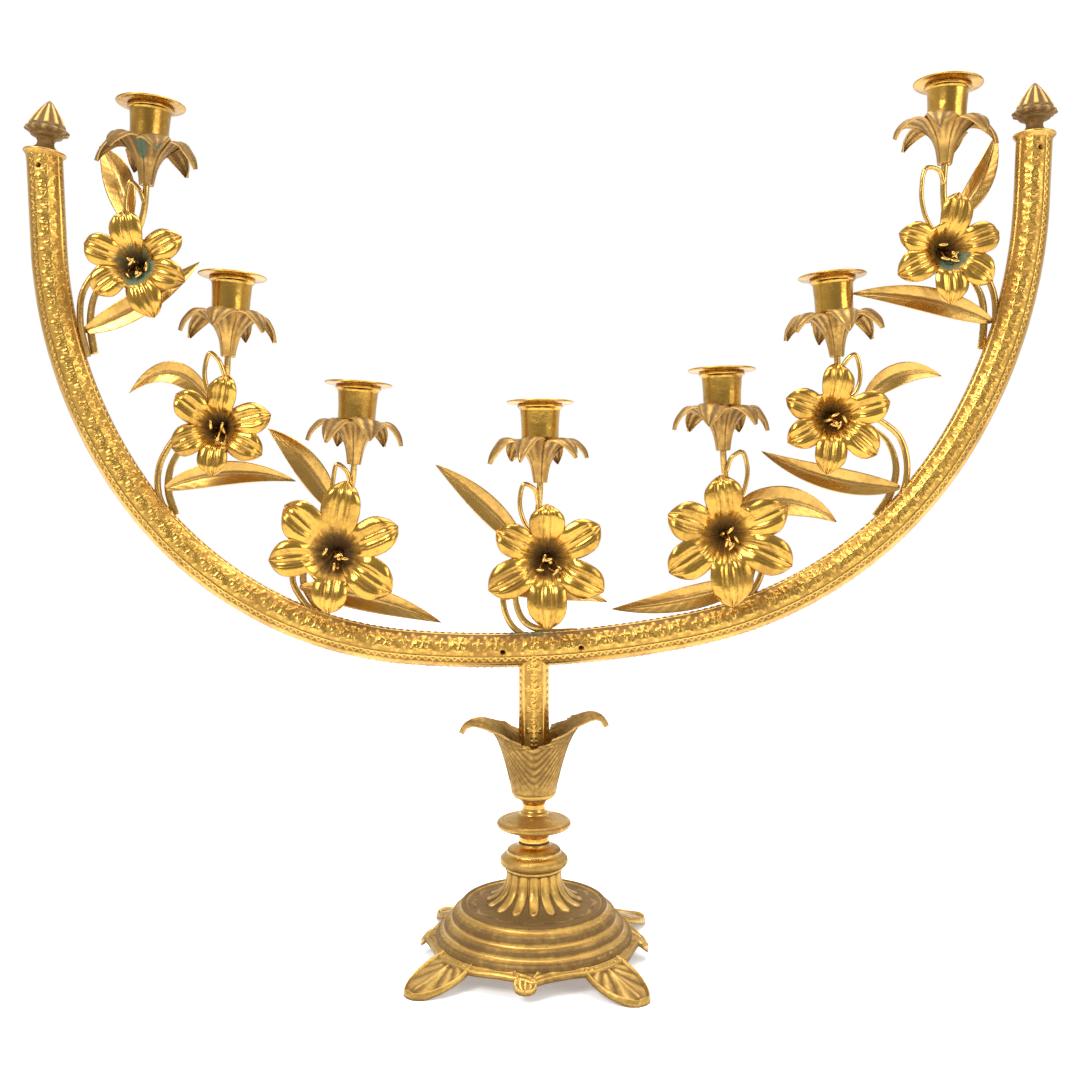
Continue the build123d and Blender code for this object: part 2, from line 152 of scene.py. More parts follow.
LIGHTS = [
    Light(
        1,
        stem=[(-290, 389), (-295, 412), (-294, 430), (-282, 449), (-263, 464), (-255, 481)],
        loop=[(-253, 489), (-256, 497), (-261, 502), (-264, 492), (-262, 472), (-255, 456)],
        ribbon=[(-287, 391), (-290, 412), (-288, 428), (-276, 446), (-260, 461)],
        leaves=[((-264, 3, 475), (-293, 27, 534), 5, 19, 18), ((-294, 3, 406), (-221, 12, 453), -5, 16, -10)],
        petals=[(100, 34), (158, 34), (218, 31), (291, 37), (340, 35), (29, 35)],
        throat=1.0, sepals=30, green=(0.9, 0.9),
    ),
    Light(
        2,
        stem=[(-238, 285), (-244, 300), (-244, 317), (-236, 334), (-216, 352), (-202, 370)],
        loop=[(-201, 377), (-204, 385.5), (-209.5, 391), (-213, 382), (-211, 366), (-203, 352)],
        ribbon=[(-234, 286), (-239, 302), (-238, 316), (-230, 331), (-213, 347)],
        leaves=[((-210, 3, 358), (-266, 8, 366), 17, 14, 25), ((-241, 3, 303), (-157, 12, 308), 8, 15, -12)],
        petals=[(78, 34), (140, 33), (205, 31), (265, 31), (329, 34), (13, 36)],
        throat=0.9, sepals=0, green=(0.25, 0.1),
    ),
    Light(
        3,
        stem=[(-139, 219), (-150, 230), (-157, 243), (-152, 262), (-132, 283), (-120, 301)],
        loop=[(-119, 306), (-122, 315), (-127, 319), (-130, 309), (-130, 291), (-127, 276)],
        ribbon=[(-133, 218), (-144, 229), (-151, 243), (-147, 260), (-130, 278)],
        leaves=[((-129, 4, 287), (-176, 12, 343), 5, 17, 15), ((-153, 3, 239), (-61, 13, 214.5), 4, 16, -8)],
        petals=[(81, 46.4), (136, 43.9), (186, 41.4), (264, 38.5), (326, 43.7), (23, 44)],
        throat=1.0, sepals=30, green=(0.35, 0.05),
    ),
    Light(
        4,
        stem=[(-3, 205), (-15, 215), (-20, 229), (-15, 246), (-4, 266), (2, 285)],
        loop=[(3, 293), (0, 303), (-6, 306), (-9, 297), (-6, 281), (4, 269)],
        ribbon=[(28, 209.6), (8, 210), (-6, 216), (-12, 230), (-10, 246), (-2, 262)],
        leaves=[((-6, 4, 264), (-65, 10, 319), 3, 15, 8), ((-18, 3, 236), (49, 13, 228), 5, 13, -15)],
        petals=[(90, 35), (150, 37), (208, 41.7), (270, 44.3), (330, 41.3), (33, 40)],
        throat=0.9, sepals=-20, green=(0.1, 0.1),
    ),
    Light(
        5,
        stem=[(132, 225), (144, 239), (149, 252), (144, 272), (131, 292), (125, 310)],
        loop=[(125, 314), (128.5, 323.5), (134.5, 327), (138, 318), (136, 302), (127, 286)],
        ribbon=[(127, 222), (138, 238), (143, 252), (139, 268), (128, 287)],
        leaves=[((132, 4, 291), (200, 12, 281), 9, 18, 20), ((143, 3, 244), (51, 13, 223.5), -3, 15, -8)],
        petals=[(97, 38), (161, 40), (213, 44), (275, 46), (334, 45), (25, 42)],
        throat=0.8, sepals=35, green=(0.3, 0.05),
    ),
    Light(
        6,
        stem=[(228, 284), (239, 299), (243, 316), (239, 336), (219, 353), (200, 370)],
        loop=[(199, 376), (202, 385.5), (207.5, 390), (211, 381), (209, 367), (198, 357)],
        ribbon=[(223, 285), (233, 300), (237, 316), (233, 332), (215, 348)],
        leaves=[((216, 4, 360), (268, 8, 377), 10, 14, 25), ((239, 3, 304), (150, 12, 328), -6, 15, -12)],
        petals=[(87, 34), (159, 33), (209, 34), (262, 37), (318, 36), (15, 36)],
        throat=0.7, sepals=0, green=(0.15, 0.1),
    ),
    Light(
        7,
        stem=[(297, 394), (300, 413), (299, 431), (289, 451), (272, 471), (267, 494)],
        loop=[(266, 501), (262.5, 509.5), (255, 511), (251, 497), (253, 481), (260, 466)],
        ribbon=[(292, 394), (294, 412), (293, 428), (283, 446), (268, 464)],
        leaves=[((272, 4, 477), (311, 27, 543), -5, 14, -18), ((299, 3, 412), (209, 12, 432), 5, 16, 10)],
        petals=[(80, 36), (162, 33), (207, 36), (273, 35), (324, 34), (19, 34)],
        throat=0.8, sepals=30, green=(0.3, 0.7),
    ),
]


# ---------------------------------------------------------------- shapes

def rise(low, high, x):
    """0 up to low, 1 from high on, and 3t^2 - 2t^3 between them."""
    t = np.clip((x - low) / (high - low), 0, 1)
    return t * t * (3 - 2 * t)


def ridge(x, centre, half):
    """A raised cosine: 1 at centre, down to 0 at half to either side."""
    return 0.5 + 0.5 * np.cos(np.pi * np.clip((x - centre) / half, -1, 1))


def wrapped(x, period):
    """x less the nearest whole number of periods, so from minus to plus half a period."""
    return (x + period / 2) % period - period / 2


def unit(vectors):
    """Each vector divided by its length."""
    return vectors / np.linalg.norm(vectors, axis=-1, keepdims=True)


def evenly(path, step):
    """Points about step apart along a chain of points, its ends kept."""
    run = np.concatenate([[0], np.cumsum(np.linalg.norm(np.diff(path, axis=0), axis=1))])
    even = np.linspace(0, run[-1], max(2, int(round(run[-1] / step)) + 1))
    return np.stack([np.interp(even, run, path[:, k]) for k in range(path.shape[1])], 1)


def through(points, step):
    """The smooth curve through points: cubic Hermite pieces, sloped as each point's neighbours lie."""
    points = np.asarray(points, float)
    knots = np.concatenate([[0], np.cumsum(np.linalg.norm(np.diff(points, axis=0), axis=1))])
    slopes = np.gradient(points, knots, axis=0)
    run = np.linspace(0, knots[-1], 30 * len(points))
    i = np.clip(np.searchsorted(knots, run, side="right") - 1, 0, len(points) - 2)
    gap = (knots[i + 1] - knots[i])[:, None]
    t = (run - knots[i])[:, None] / gap
    start = points[i] * (1 + 2 * t) * (1 - t) ** 2 + slopes[i] * gap * t * (1 - t) ** 2
    end = points[i + 1] * t * t * (3 - 2 * t) + slopes[i + 1] * gap * t * t * (t - 1)
    return evenly(start + end, step)


def eased(corners, ease, closed=True):
    """An outline whose corners are parabolas that start and end ease away, or 0.45 of a shorter side."""
    p = np.asarray(corners, float)
    starts = []
    for neighbour in (np.roll(p, 1, 0), np.roll(p, -1, 0)):
        away = neighbour - p
        length = np.linalg.norm(away, axis=1)
        starts.append(p + away * (np.minimum(ease, 0.45 * length) / length)[:, None])
    t = np.linspace(0, 1, 5)[None, :, None]
    arcs = starts[0][:, None] * (1 - t) ** 2 + 2 * p[:, None] * t * (1 - t) + starts[1][:, None] * t * t
    if not closed:
        arcs[0] = p[0]
        arcs[-1] = p[-1]
    return arcs.reshape(-1, p.shape[1])


def spokes(count):
    """Angles of count spokes, once round."""
    return np.linspace(0, TURN, count, endpoint=False)[None, :]


def rings(radius, height, angle):
    """Points at radius from Z and at height, each turned to its angle."""
    radius, height, angle = np.broadcast_arrays(radius, height, angle)
    return np.stack([radius * np.cos(angle), radius * np.sin(angle), height], -1)


def spun(outline, count):
    """An outline of (radius, height) carried once round Z on count spokes."""
    return rings(outline[:, :1], outline[:, 1:], spokes(count))


def stood(grid, foot, axis, about=0.0):
    """A grid made about Z, turned about it, then tipped onto axis and set on foot."""
    tip = np.array(Vector((0, 0, 1)).rotation_difference(Vector(axis)).to_matrix())
    spin = np.array([[math.cos(about), -math.sin(about), 0], [math.sin(about), math.cos(about), 0], [0, 0, 1]])
    return grid @ (tip @ spin).T + np.asarray(foot)


def facing_front(points, light):
    """Points made about Z, tipped forwards so that up becomes the front, and set on the light's flower."""
    x, y, z = points[..., 0], points[..., 1], points[..., 2]
    return np.stack([x, -z, y], -1) + light.flower


def lengthwise(rows, cols):
    """t from 0 to 1 down a lattice's rows, and a from -1 to 1 across its columns."""
    return np.linspace(0, 1, rows)[:, None], np.linspace(-1, 1, cols)[None, :]


def sheet(first, second):
    """One lattice of a sheet's two sides: across the first, and back across the second."""
    return np.concatenate([first, second[:, ::-1]], 1)


def outline_marks(outline):
    """Marks where an outline bends in (patina, painted shade) and out (wear, painted highlights): the sine of
    the bend over 6 points.
    """
    a = outline - np.roll(outline, 3, 0)
    b = np.roll(outline, -3, 0) - outline
    lengths = np.linalg.norm(a, axis=1) * np.linalg.norm(b, axis=1)
    bend = (a[:, 0] * b[:, 1] - a[:, 1] * b[:, 0]) / (lengths + 1e-6)
    return np.clip(-bend, 0, 1)[:, None], np.clip(bend, 0, 1)[:, None]


def square_to(line):
    """Unit vectors square to a line at each of its points: one in the plane of the bow, one out of it."""
    along = unit(np.gradient(line, axis=0))
    side = unit(np.cross(along, BACKWARD))
    return side[:, None], np.cross(side, along)[:, None]


def wire(line, radius, count):
    """A round wire: circles square to the line, radius one number or one for each point."""
    side, out = square_to(line)
    angle = spokes(count)[..., None]
    reach = np.broadcast_to(np.asarray(radius, float), len(line))[:, None, None]
    return line[:, None] + reach * (np.cos(angle) * side + np.sin(angle) * out)


def strap(line, width, thick):
    """A flat strip: an oval section as wide as width says at each point, its flat side to the front."""
    side, out = square_to(line)
    angle = spokes(16)[..., None]
    flat = np.sign(np.sin(angle)) * np.abs(np.sin(angle)) ** 0.6
    return line[:, None] + width[:, None, None] / 2 * np.cos(angle) * side + thick / 2 * flat * out


def petal(spine, half, lifted, thick, turn, bend=0.0, twist=0.0):
    """A petal: a spine of (distance from Z, height), with each point spread round Z.

    At t along the spine and a from -1 to 1 across it, a point is half * a to the side, and is moved square
    to the spine by lifted + a * half * tan(twist) * t^2.  bend carries the tip round Z by bend * t^2.  The
    second side lies thick below the first, and the two close on each other at the edges.
    """
    t, a = lengthwise(*lifted.shape)
    slope = unit(np.gradient(spine, axis=0))
    raised = lifted + a * half * math.tan(twist) * t * t
    sides = []
    for depth in (0.0, thick):
        away = raised - depth * (1 - 0.5 * a ** 8)
        radius = spine[:, :1] - slope[:, 1:] * away
        height = spine[:, 1:] + slope[:, :1] * away
        sides.append(rings(radius, height, turn + bend * t * t + half * a / np.maximum(spine[:, :1], 1)))
    return sheet(*sides)


class Skin:
    """A piece in the making: closed lattices with their marks."""

    def __init__(self):
        self.points = []
        self.faces = []
        self.marks = []
        self.count = 0

    def add(self, grid, hollow=0.0, wear_and_sheen=0.0, green=0.0, ring=False):
        """A lattice whose columns close on themselves.  Its rows do too if ring, and else end in two poles.

        Faces are turned over where they would enclose a negative volume, so they all point outwards.
        """
        rows, cols = grid.shape[:2]
        marks = np.stack([np.broadcast_to(m, (rows, cols)) for m in (hollow, wear_and_sheen, green)], -1)
        i = np.arange(rows if ring else rows - 1)[:, None]
        j = np.arange(cols)[None, :]
        right = (j + 1) % cols
        above = (i + 1) % rows * cols
        faces = [np.stack([i * cols + j, i * cols + right, above + right, above + j], -1).reshape(-1, 4)]
        points = [grid.reshape(-1, 3)]
        values = [marks.reshape(-1, 3)]
        if not ring:
            first = rows * cols
            last = first + 1
            top = (rows - 1) * cols
            no_corner = np.full(cols, -1)
            faces.append(np.stack([right[0], j[0], np.full(cols, first), no_corner], -1))
            faces.append(np.stack([top + j[0], top + right[0], np.full(cols, last), no_corner], -1))
            points.append(np.stack([grid[0].mean(0), grid[-1].mean(0)]))
            values.append(np.stack([marks[0].mean(0), marks[-1].mean(0)]))
        points = np.concatenate(points)
        faces = np.concatenate(faces)
        a, b, c = (points[faces[:, k]] for k in range(3))
        d = points[np.where(faces[:, 3] < 0, faces[:, 2], faces[:, 3])]
        volume = np.einsum("ij,ij->", a, np.cross(b, c) + np.cross(c, d))
        if volume < 0:
            faces = faces[:, ::-1]
        self.points.append(points)
        self.marks.append(np.concatenate(values))
        self.faces.append(np.where(faces < 0, -1, faces + self.count))
        self.count += len(points)

    def add_sheet(self, grid, hollow, wear_and_sheen=(0.0, 0.0), green=(0.0, 0.0)):
        """A lattice made by sheet, with each mark as a pair: on its first side and on its second."""
        rows, cols = grid.shape[:2]
        for_sides = (rows, cols // 2)
        marks = (sheet(*(np.broadcast_to(side, for_sides) for side in mark)) for mark in (hollow, wear_and_sheen, green))
        self.add(grid, *marks)

    def make(self, name, finish, body, *nodes):
        """The mesh object, riding on body in place of the CAD nodes."""
        faces = np.concatenate(self.faces)
        loops = faces[faces >= 0]
        sizes = (faces >= 0).sum(1)
        mesh = bpy.data.meshes.new(name)
        mesh.vertices.add(self.count)
        mesh.vertices.foreach_set("co", (np.concatenate(self.points) * MM).ravel())
        mesh.loops.add(len(loops))
        mesh.loops.foreach_set("vertex_index", loops)
        mesh.polygons.add(len(faces))
        mesh.polygons.foreach_set("loop_start", np.concatenate([[0], np.cumsum(sizes)[:-1]]))
        mesh.polygons.foreach_set("use_smooth", np.ones(len(faces), bool))
        mesh.update(calc_edges=True)
        marks = np.concatenate(self.marks)
        for k, mark in enumerate(("hollow", "wear_and_sheen", "green")):
            layer = mesh.attributes.new(mark, "FLOAT", "POINT")
            layer.data.foreach_set("value", np.clip(marks[:, k], 0, 1).astype(np.float32))
        mesh.materials.append(FINISHES[finish])
        piece = bpy.data.objects.new(name, mesh)
        bpy.context.scene.collection.objects.link(piece)
        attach(piece, body)
        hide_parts(*nodes)


# ---------------------------------------------------------------- stamped strip: bow and stem

def cross_pattee(x, y):
    """Height from 0 to 1 of a cross whose four arms widen outwards, with a groove along each arm."""
    def arm(along, over):
        inside = rise(0, 0.9, 0.55 + 0.42 * abs(along) - abs(over))
        ends = rise(0, 0.8, CROSS_ARM - abs(along))
        return inside * ends * (1 - 0.3 * ridge(over, 0, 0.9) * rise(1.5, 3, abs(along)))
    return np.maximum(np.maximum(arm(x, y), arm(y, x)), 0.9 * rise(2.1, 1.2, np.hypot(x, y)))


def floret(x, y, reach):
    """Height from 0 to 1 of a small flower: its edge is reach times 0.72 plus 0.28 of cos(4 * angle)."""
    away = np.hypot(x, y)
    lobes = reach * (0.72 + 0.28 * np.cos(4 * np.arctan2(y, x)))
    return rise(0, 0.9, lobes - away) * (1 - 0.6 * ridge(away, 0, 0.7))


def strip_relief(run, angle):
    """The bow's stamped ornament: its height, its darkening (patina and painted shade) and its brightening
    (wear and painted highlights).

    run is the distance along the bar and angle goes around it.  Two bands alternate and each comes twice
    round.  One has crosses, with a bud in each corner, and between them florets with a spray at each
    corner and a bar to either side.  The other has a zigzag line beside each rail and a plain strip
    with a shallow groove between the lines.  A rounded rail parts the bands.
    """
    y = BOW_R * wrapped(angle - CROSS_BAND, math.pi)
    x = wrapped(run, CROSS_PITCH)
    between = wrapped(run + CROSS_PITCH / 2, CROSS_PITCH)
    buds = np.hypot(abs(x) - 3.5, (abs(y) - 3.5) * 1.2)
    sprays = np.hypot(abs(between) - 4.4, (abs(y) - 5.2) * math.sqrt(0.5))
    bars = rise(1.2, 0.7, abs(abs(between) - 5.9)) * rise(5.0, 4.0, abs(y))
    figures = np.maximum(cross_pattee(x, y), floret(between, y, 4.3))
    for small in (0.75 * rise(1.7, 0.8, buds), 0.7 * rise(1.8, 0.9, sprays), 0.5 * bars):
        figures = np.maximum(figures, small)
    in_band = rise(CROSS_HALF, CROSS_HALF - 1.0, abs(y))
    rail = ridge(abs(y), CROSS_HALF, 1.0)

    w = abs(BOW_R * wrapped(angle - ZIGZAG_BAND, math.pi))
    wave = ZIGZAG_SWING * (abs(wrapped(run, ZIGZAG_PITCH)) / (ZIGZAG_PITCH / 4) - 1)
    line = ridge(w, ZIGZAG_FROM_MIDDLE + wave, 0.95)
    grooves = np.maximum(ridge(w, ZIGZAG_FROM_MIDDLE - 2.6, 0.8), 0.5 * ridge(w, 0, 1.4))
    beside_line = rise(2.6, 1.8, abs(w - ZIGZAG_FROM_MIDDLE)) * (1 - line)
    plain = (1 - in_band) * (1 - rail)
    height = in_band * (0.55 * figures - 0.2) + 0.4 * rail + plain * (0.75 * line - 0.3 * grooves)
    hollow = in_band * (1 - figures) * 0.6 + plain * (0.7 * grooves + 0.95 * beside_line)
    return height, hollow, np.maximum(rail, 0.5 * in_band * figures)


def bar_angles(count, centres):
    """count angles once round, set closer together near the centres where narrow rails run."""
    fine = np.linspace(0, TURN, 4000)
    weight = 1 + 1.2 * sum(ridge(wrapped(fine - c, math.pi), 0, 0.16) for c in centres)
    run = np.cumsum(weight)
    return np.interp(np.linspace(run[0], run[-1], count, endpoint=False), run, fine)[None, :]


def bow_half(side):
    """Half the bow: heading is piecewise linear in the distance run, and the line is its integral.

    Around the line, each point is BOW_R plus the relief away, and nothing passes the cap's plane.
    """
    turn, arcs, straight = BOW_HALVES[side]
    lengths = [radius * math.radians(degrees) for radius, degrees in arcs] + [straight]
    turns = [turn * math.radians(degrees) for _, degrees in arcs] + [0.0]
    start = math.radians(BOW_TILT) + (0 if turn > 0 else math.pi)
    run = np.linspace(0, sum(lengths), 900)
    stops = np.concatenate([[0], np.cumsum(lengths)])
    heading = np.interp(run, stops, start + np.concatenate([[0], np.cumsum(turns)]))
    halfway = (heading[1:] + heading[:-1]) / 2
    step = np.diff(run)[:, None] * np.stack([np.cos(halfway), np.sin(halfway)], 1)
    line = np.concatenate([[[0, BOW_CENTRE_Z]], [0, BOW_CENTRE_Z] + np.cumsum(step, 0)])
    inward = turn * np.stack([-np.sin(heading), np.cos(heading)], 1)
    run = run[:, None]

    rail = CROSS_HALF / BOW_R
    zigzag = ZIGZAG_FROM_MIDDLE / BOW_R
    narrow = (CROSS_BAND - rail, CROSS_BAND + rail, ZIGZAG_BAND - zigzag, ZIGZAG_BAND + zigzag)
    angle = bar_angles(110, narrow)
    height, hollow, wear_and_sheen = strip_relief(run, angle)
    for pin in (PIN_HOLES[side], sum(lengths) - PIN_FROM_END):
        hole = rise(PIN_R + 0.35, PIN_R - 0.35, np.hypot(run - pin, BOW_R * wrapped(angle, TURN)))
        height = height * (1 - hole) - PIN_DEPTH * hole
        # Painted shade: each pin hole is darkened to the full.
        hollow = np.maximum(hollow, 3 * hole)
        wear_and_sheen = wear_and_sheen * (1 - hole)
    upward = np.sin(angle)
    # Painted shade on the bow's upper side, strongest near the middle and gone 230 mm out; near the middle the
    # same mask also places verdigris.
    top_shade_and_verdigris = rise(0.1, 1.2, upward) * rise(230, 20, run)
    hollow = hollow * (0.75 + 0.5 * top_shade_and_verdigris) + 0.55 * top_shade_and_verdigris * rise(0.2, 0.9, upward)
    # Painted shade on the bow's underside.
    hollow = hollow + 0.3 * rise(-0.4, -0.9, upward)
    green = 0.9 * top_shade_and_verdigris * rise(60, 5, run) * rise(0.5, 1, upward)

    seam = 0.3 * ridge(run, 0, 1.2)
    inner = np.stack([inward[:, 0], np.zeros(len(run)), inward[:, 1]], 1)[:, None]
    middle = np.stack([line[:, 0], np.zeros(len(run)), line[:, 1]], 1)[:, None]
    toward = np.cos(angle)[..., None] * FORWARD + upward[..., None] * inner
    grid = middle + (BOW_R + height - seam)[..., None] * toward

    joint = JOINTS[f"finial_turn_{side}"]
    up = np.array(joint["axis"])
    along = np.array([math.cos(heading[-1]), 0, math.sin(heading[-1])])
    past_cap = np.maximum((grid - np.array(joint["pos_m"]) / MM) @ up, 0) / (along @ up)
    skin = Skin()
    skin.add(grid - past_cap[..., None] * along, hollow, wear_and_sheen, green)
    skin.make(f"bow_{side}_half", "stamped_gilt", "bow", "bow_tube")


def stem():
    """The stem: an upright tube of radius STEM_R plus the relief of a smaller strip.

    A band of crosses and florets faces the front and the back, and a beaded trough each side.
    """
    run = np.linspace(0, STEM_TOP_Z - STEM_FOOT_Z, 190)[:, None]
    angle = bar_angles(150, (-STEM_HALF / STEM_R, STEM_HALF / STEM_R))
    y = STEM_R * wrapped(angle, math.pi)
    x = wrapped(run + 3, STEM_PITCH)
    between = wrapped(run + 3 + STEM_PITCH / 2, STEM_PITCH)
    figures = np.maximum(cross_pattee(x * 1.15, y * 1.15), floret(between, y, 2.6))
    for shift in (-4.6, 4.6):
        figures = np.maximum(figures, 0.7 * floret(x, y - shift, 1.5))
    in_band = rise(STEM_HALF, 6.0, abs(y))
    rails = ridge(abs(y), STEM_HALF, 0.9)
    w = abs(STEM_R * wrapped(angle - math.pi / 2, math.pi))
    beads = rise(1.4, 0.9, np.hypot(wrapped(run, STEM_BEAD) * 0.62, w - STEM_BEAD))
    trough = ridge(w, STEM_BEAD, 2.6)
    height = in_band * (0.5 * figures - 0.1) + 0.35 * rails - (1 - in_band) * (0.5 * trough - 0.45 * beads)
    hollow = in_band * (1 - figures) * 0.5 + (1 - in_band) * trough * (1 - beads) * 0.9
    skin = Skin()
    skin.add(
        rings(STEM_R + height, STEM_FOOT_Z + run, angle - math.pi / 2), hollow,
        np.maximum(rails, 0.5 * figures * in_band))
    skin.make("stem_strip", "stamped_gilt", "bow", "stem_tube")


# ---------------------------------------------------------------- turned pieces: eased outlines spun round

def finial_and_cap(side):
    """The end cap's plate, and on it the finial: a spool, a collar of leaf tips and a fluted cone.

    The cone's radius falls by 0.13 of itself in ten flutes, and the collar's by 1.5 between its tips.
    """
    joint = JOINTS[f"finial_turn_{side}"]
    foot = np.array(joint["pos_m"]) / MM
    axis = np.array(joint["axis"])
    outline = eased([
        (2.7, 0.1), (10.2, -7), (11.2, -2), (CAP_R - 0.8, -0.3), (CAP_R, 0.4), (CAP_R, 1.5),
        (CAP_R - 0.7, CAP_THICK), (3.0, CAP_THICK)], 0.4)
    hollow, wear_and_sheen = outline_marks(outline)
    plate = Skin()
    plate.add(stood(spun(outline, 64), foot, axis), 0.3 + 0.5 * hollow, wear_and_sheen, ring=True)
    plate.make(f"end_cap_{side}_plate", "turned_gilt", "bow", f"end_cap_{side}")

    outline = evenly(eased([
        (0.4, 0), (8.8, 0), (8.9, 1.0), (6.7, 2.2), (5.3, 4.0), (5.2, 6.4), (6.6, 8.4), (9.6, 9.3),
        (10.2, 10.4), (9.7, 11.4), (11.6, 11.6), (14.0, 12.4), (14.1, 13.6), (12.6, 14.8), (11.4, 15.4),
        (11.6, 17.4), (10.9, 18.4), (8.6, 22.6), (5.4, 27.4), (2.0, 31.5),
        (0.4, FINIAL_HEIGHT)], 0.7, closed=False), 0.35)
    radius = outline[:, :1]
    height = outline[:, 1:]
    angle = spokes(120)
    flutes = ridge(wrapped(angle * 10 / TURN, 1), 0, 0.5)
    cone = rise(15.8, 17.2, height) * rise(33, 29, height)
    collar = rise(11.2, 12.0, height) * rise(15.4, 14.4, height)
    tips = abs(np.sin(angle * 6))
    beads = 0.3 * ridge(height, 10.4, 1.0) * abs(np.sin(angle * 14))
    lean = radius * (1 - 0.13 * cone * (1 - flutes)) - collar * 1.5 * (1 - tips) - beads
    hollow = cone * (1 - flutes) * 0.8 + collar * (1 - tips) * 0.7 + ridge(height, 16.0, 2.0) + 0.78
    wear_and_sheen = cone * flutes * 0.9 + collar * tips * 0.5
    skin = Skin()
    skin.add(
        stood(rings(lean, height, angle), foot + axis * (CAP_THICK + 0.2), axis), hollow, wear_and_sheen,
        ridge(height, 15.8, 0.9) * FINIAL_GREEN[side])
    skin.make(f"finial_{side}_turned", "turned_gilt", f"finial_{side}", f"finial_{side}")


def knop():
    """The spool with its flat disc: its outline, with a sine ripple of 0.07 on the disc's upper face."""
    outline = eased([
        (4.3, 74.1), (4.3, 103), (9.4, 103), (9.6, 102), (8.6, 101), (7.5, 99), (7.2, 96.4), (7.8, 94.2),
        (8.9, 93.6), (9.0, 92.4), (11.6, 91.2), (17, 89.0), (19.4, 88.3), (20.2, 88.9), (22.4, 88.4),
        (23.9, 87.2), (24.1, 85.6), (23.2, 83.9), (21.6, 83.2), (15, 82.0), (12.0, 80.2), (10.2, 78.0),
        (9.6, 75.6), (9.8, 74.1)], 0.5)
    outline = evenly(np.concatenate([outline, outline[:1]]), 0.4)[:-1]
    hollow, wear_and_sheen = outline_marks(outline)
    radius = outline[:, 0]
    upper_face = (outline[:, 1] > 87.5) & (radius > 10) & (radius < 20)
    outline[:, 1] += np.where(upper_face, 0.07 * np.sin(radius * 4.5), 0)
    skin = Skin()
    skin.add(spun(outline, 112), 1.1 * hollow + 0.45 * upper_face[:, None], wear_and_sheen, ring=True)
    skin.make("knop_disc_turned", "turned_gilt", "stand", "knop_disc")


def socket(light):
    """A candle socket: dished flange, straight cup and a boss that screws into the calyx."""
    outline = eased([
        (2.05, -36), (5, -36), (5.2, -32), (9.8, -26.4), (11.7, -25.6), (12.1, -24), (12.3, -15), (12.9, -6.2),
        (13.5, -5.0), (14.7, -4.3), (14.8, -3.0), (14.0, -2.3), (18.5, -2.1), (21.4, -1.5), (21.9, -0.9),
        (21.8, -0.3), (21.0, 0), (18.0, -0.7), (13.2, -1.1), (11.9, -0.9), (11.3, -1.6), (11.25, -24),
        (2.05, -24)], 0.55)
    hollow, wear_and_sheen = outline_marks(outline)
    # Painted shade inside the cup, darker further down.
    inside = rise(-2, -8, outline[:, 1:]) * rise(11.6, 11.3, outline[:, :1])
    grid = stood(spun(outline, 96) + [0, 0, FLANGE_ABOVE_CALYX], light.foot, light.axis)
    skin = Skin()
    skin.add(grid, 0.7 * hollow + inside, 0.6 * wear_and_sheen, ring=True)
    name = f"candle_socket_{light.number}"
    skin.make(f"{name}_spun", "polished_gilt", f"socket_{light.number}", name)


# ---------------------------------------------------------------- cast stand

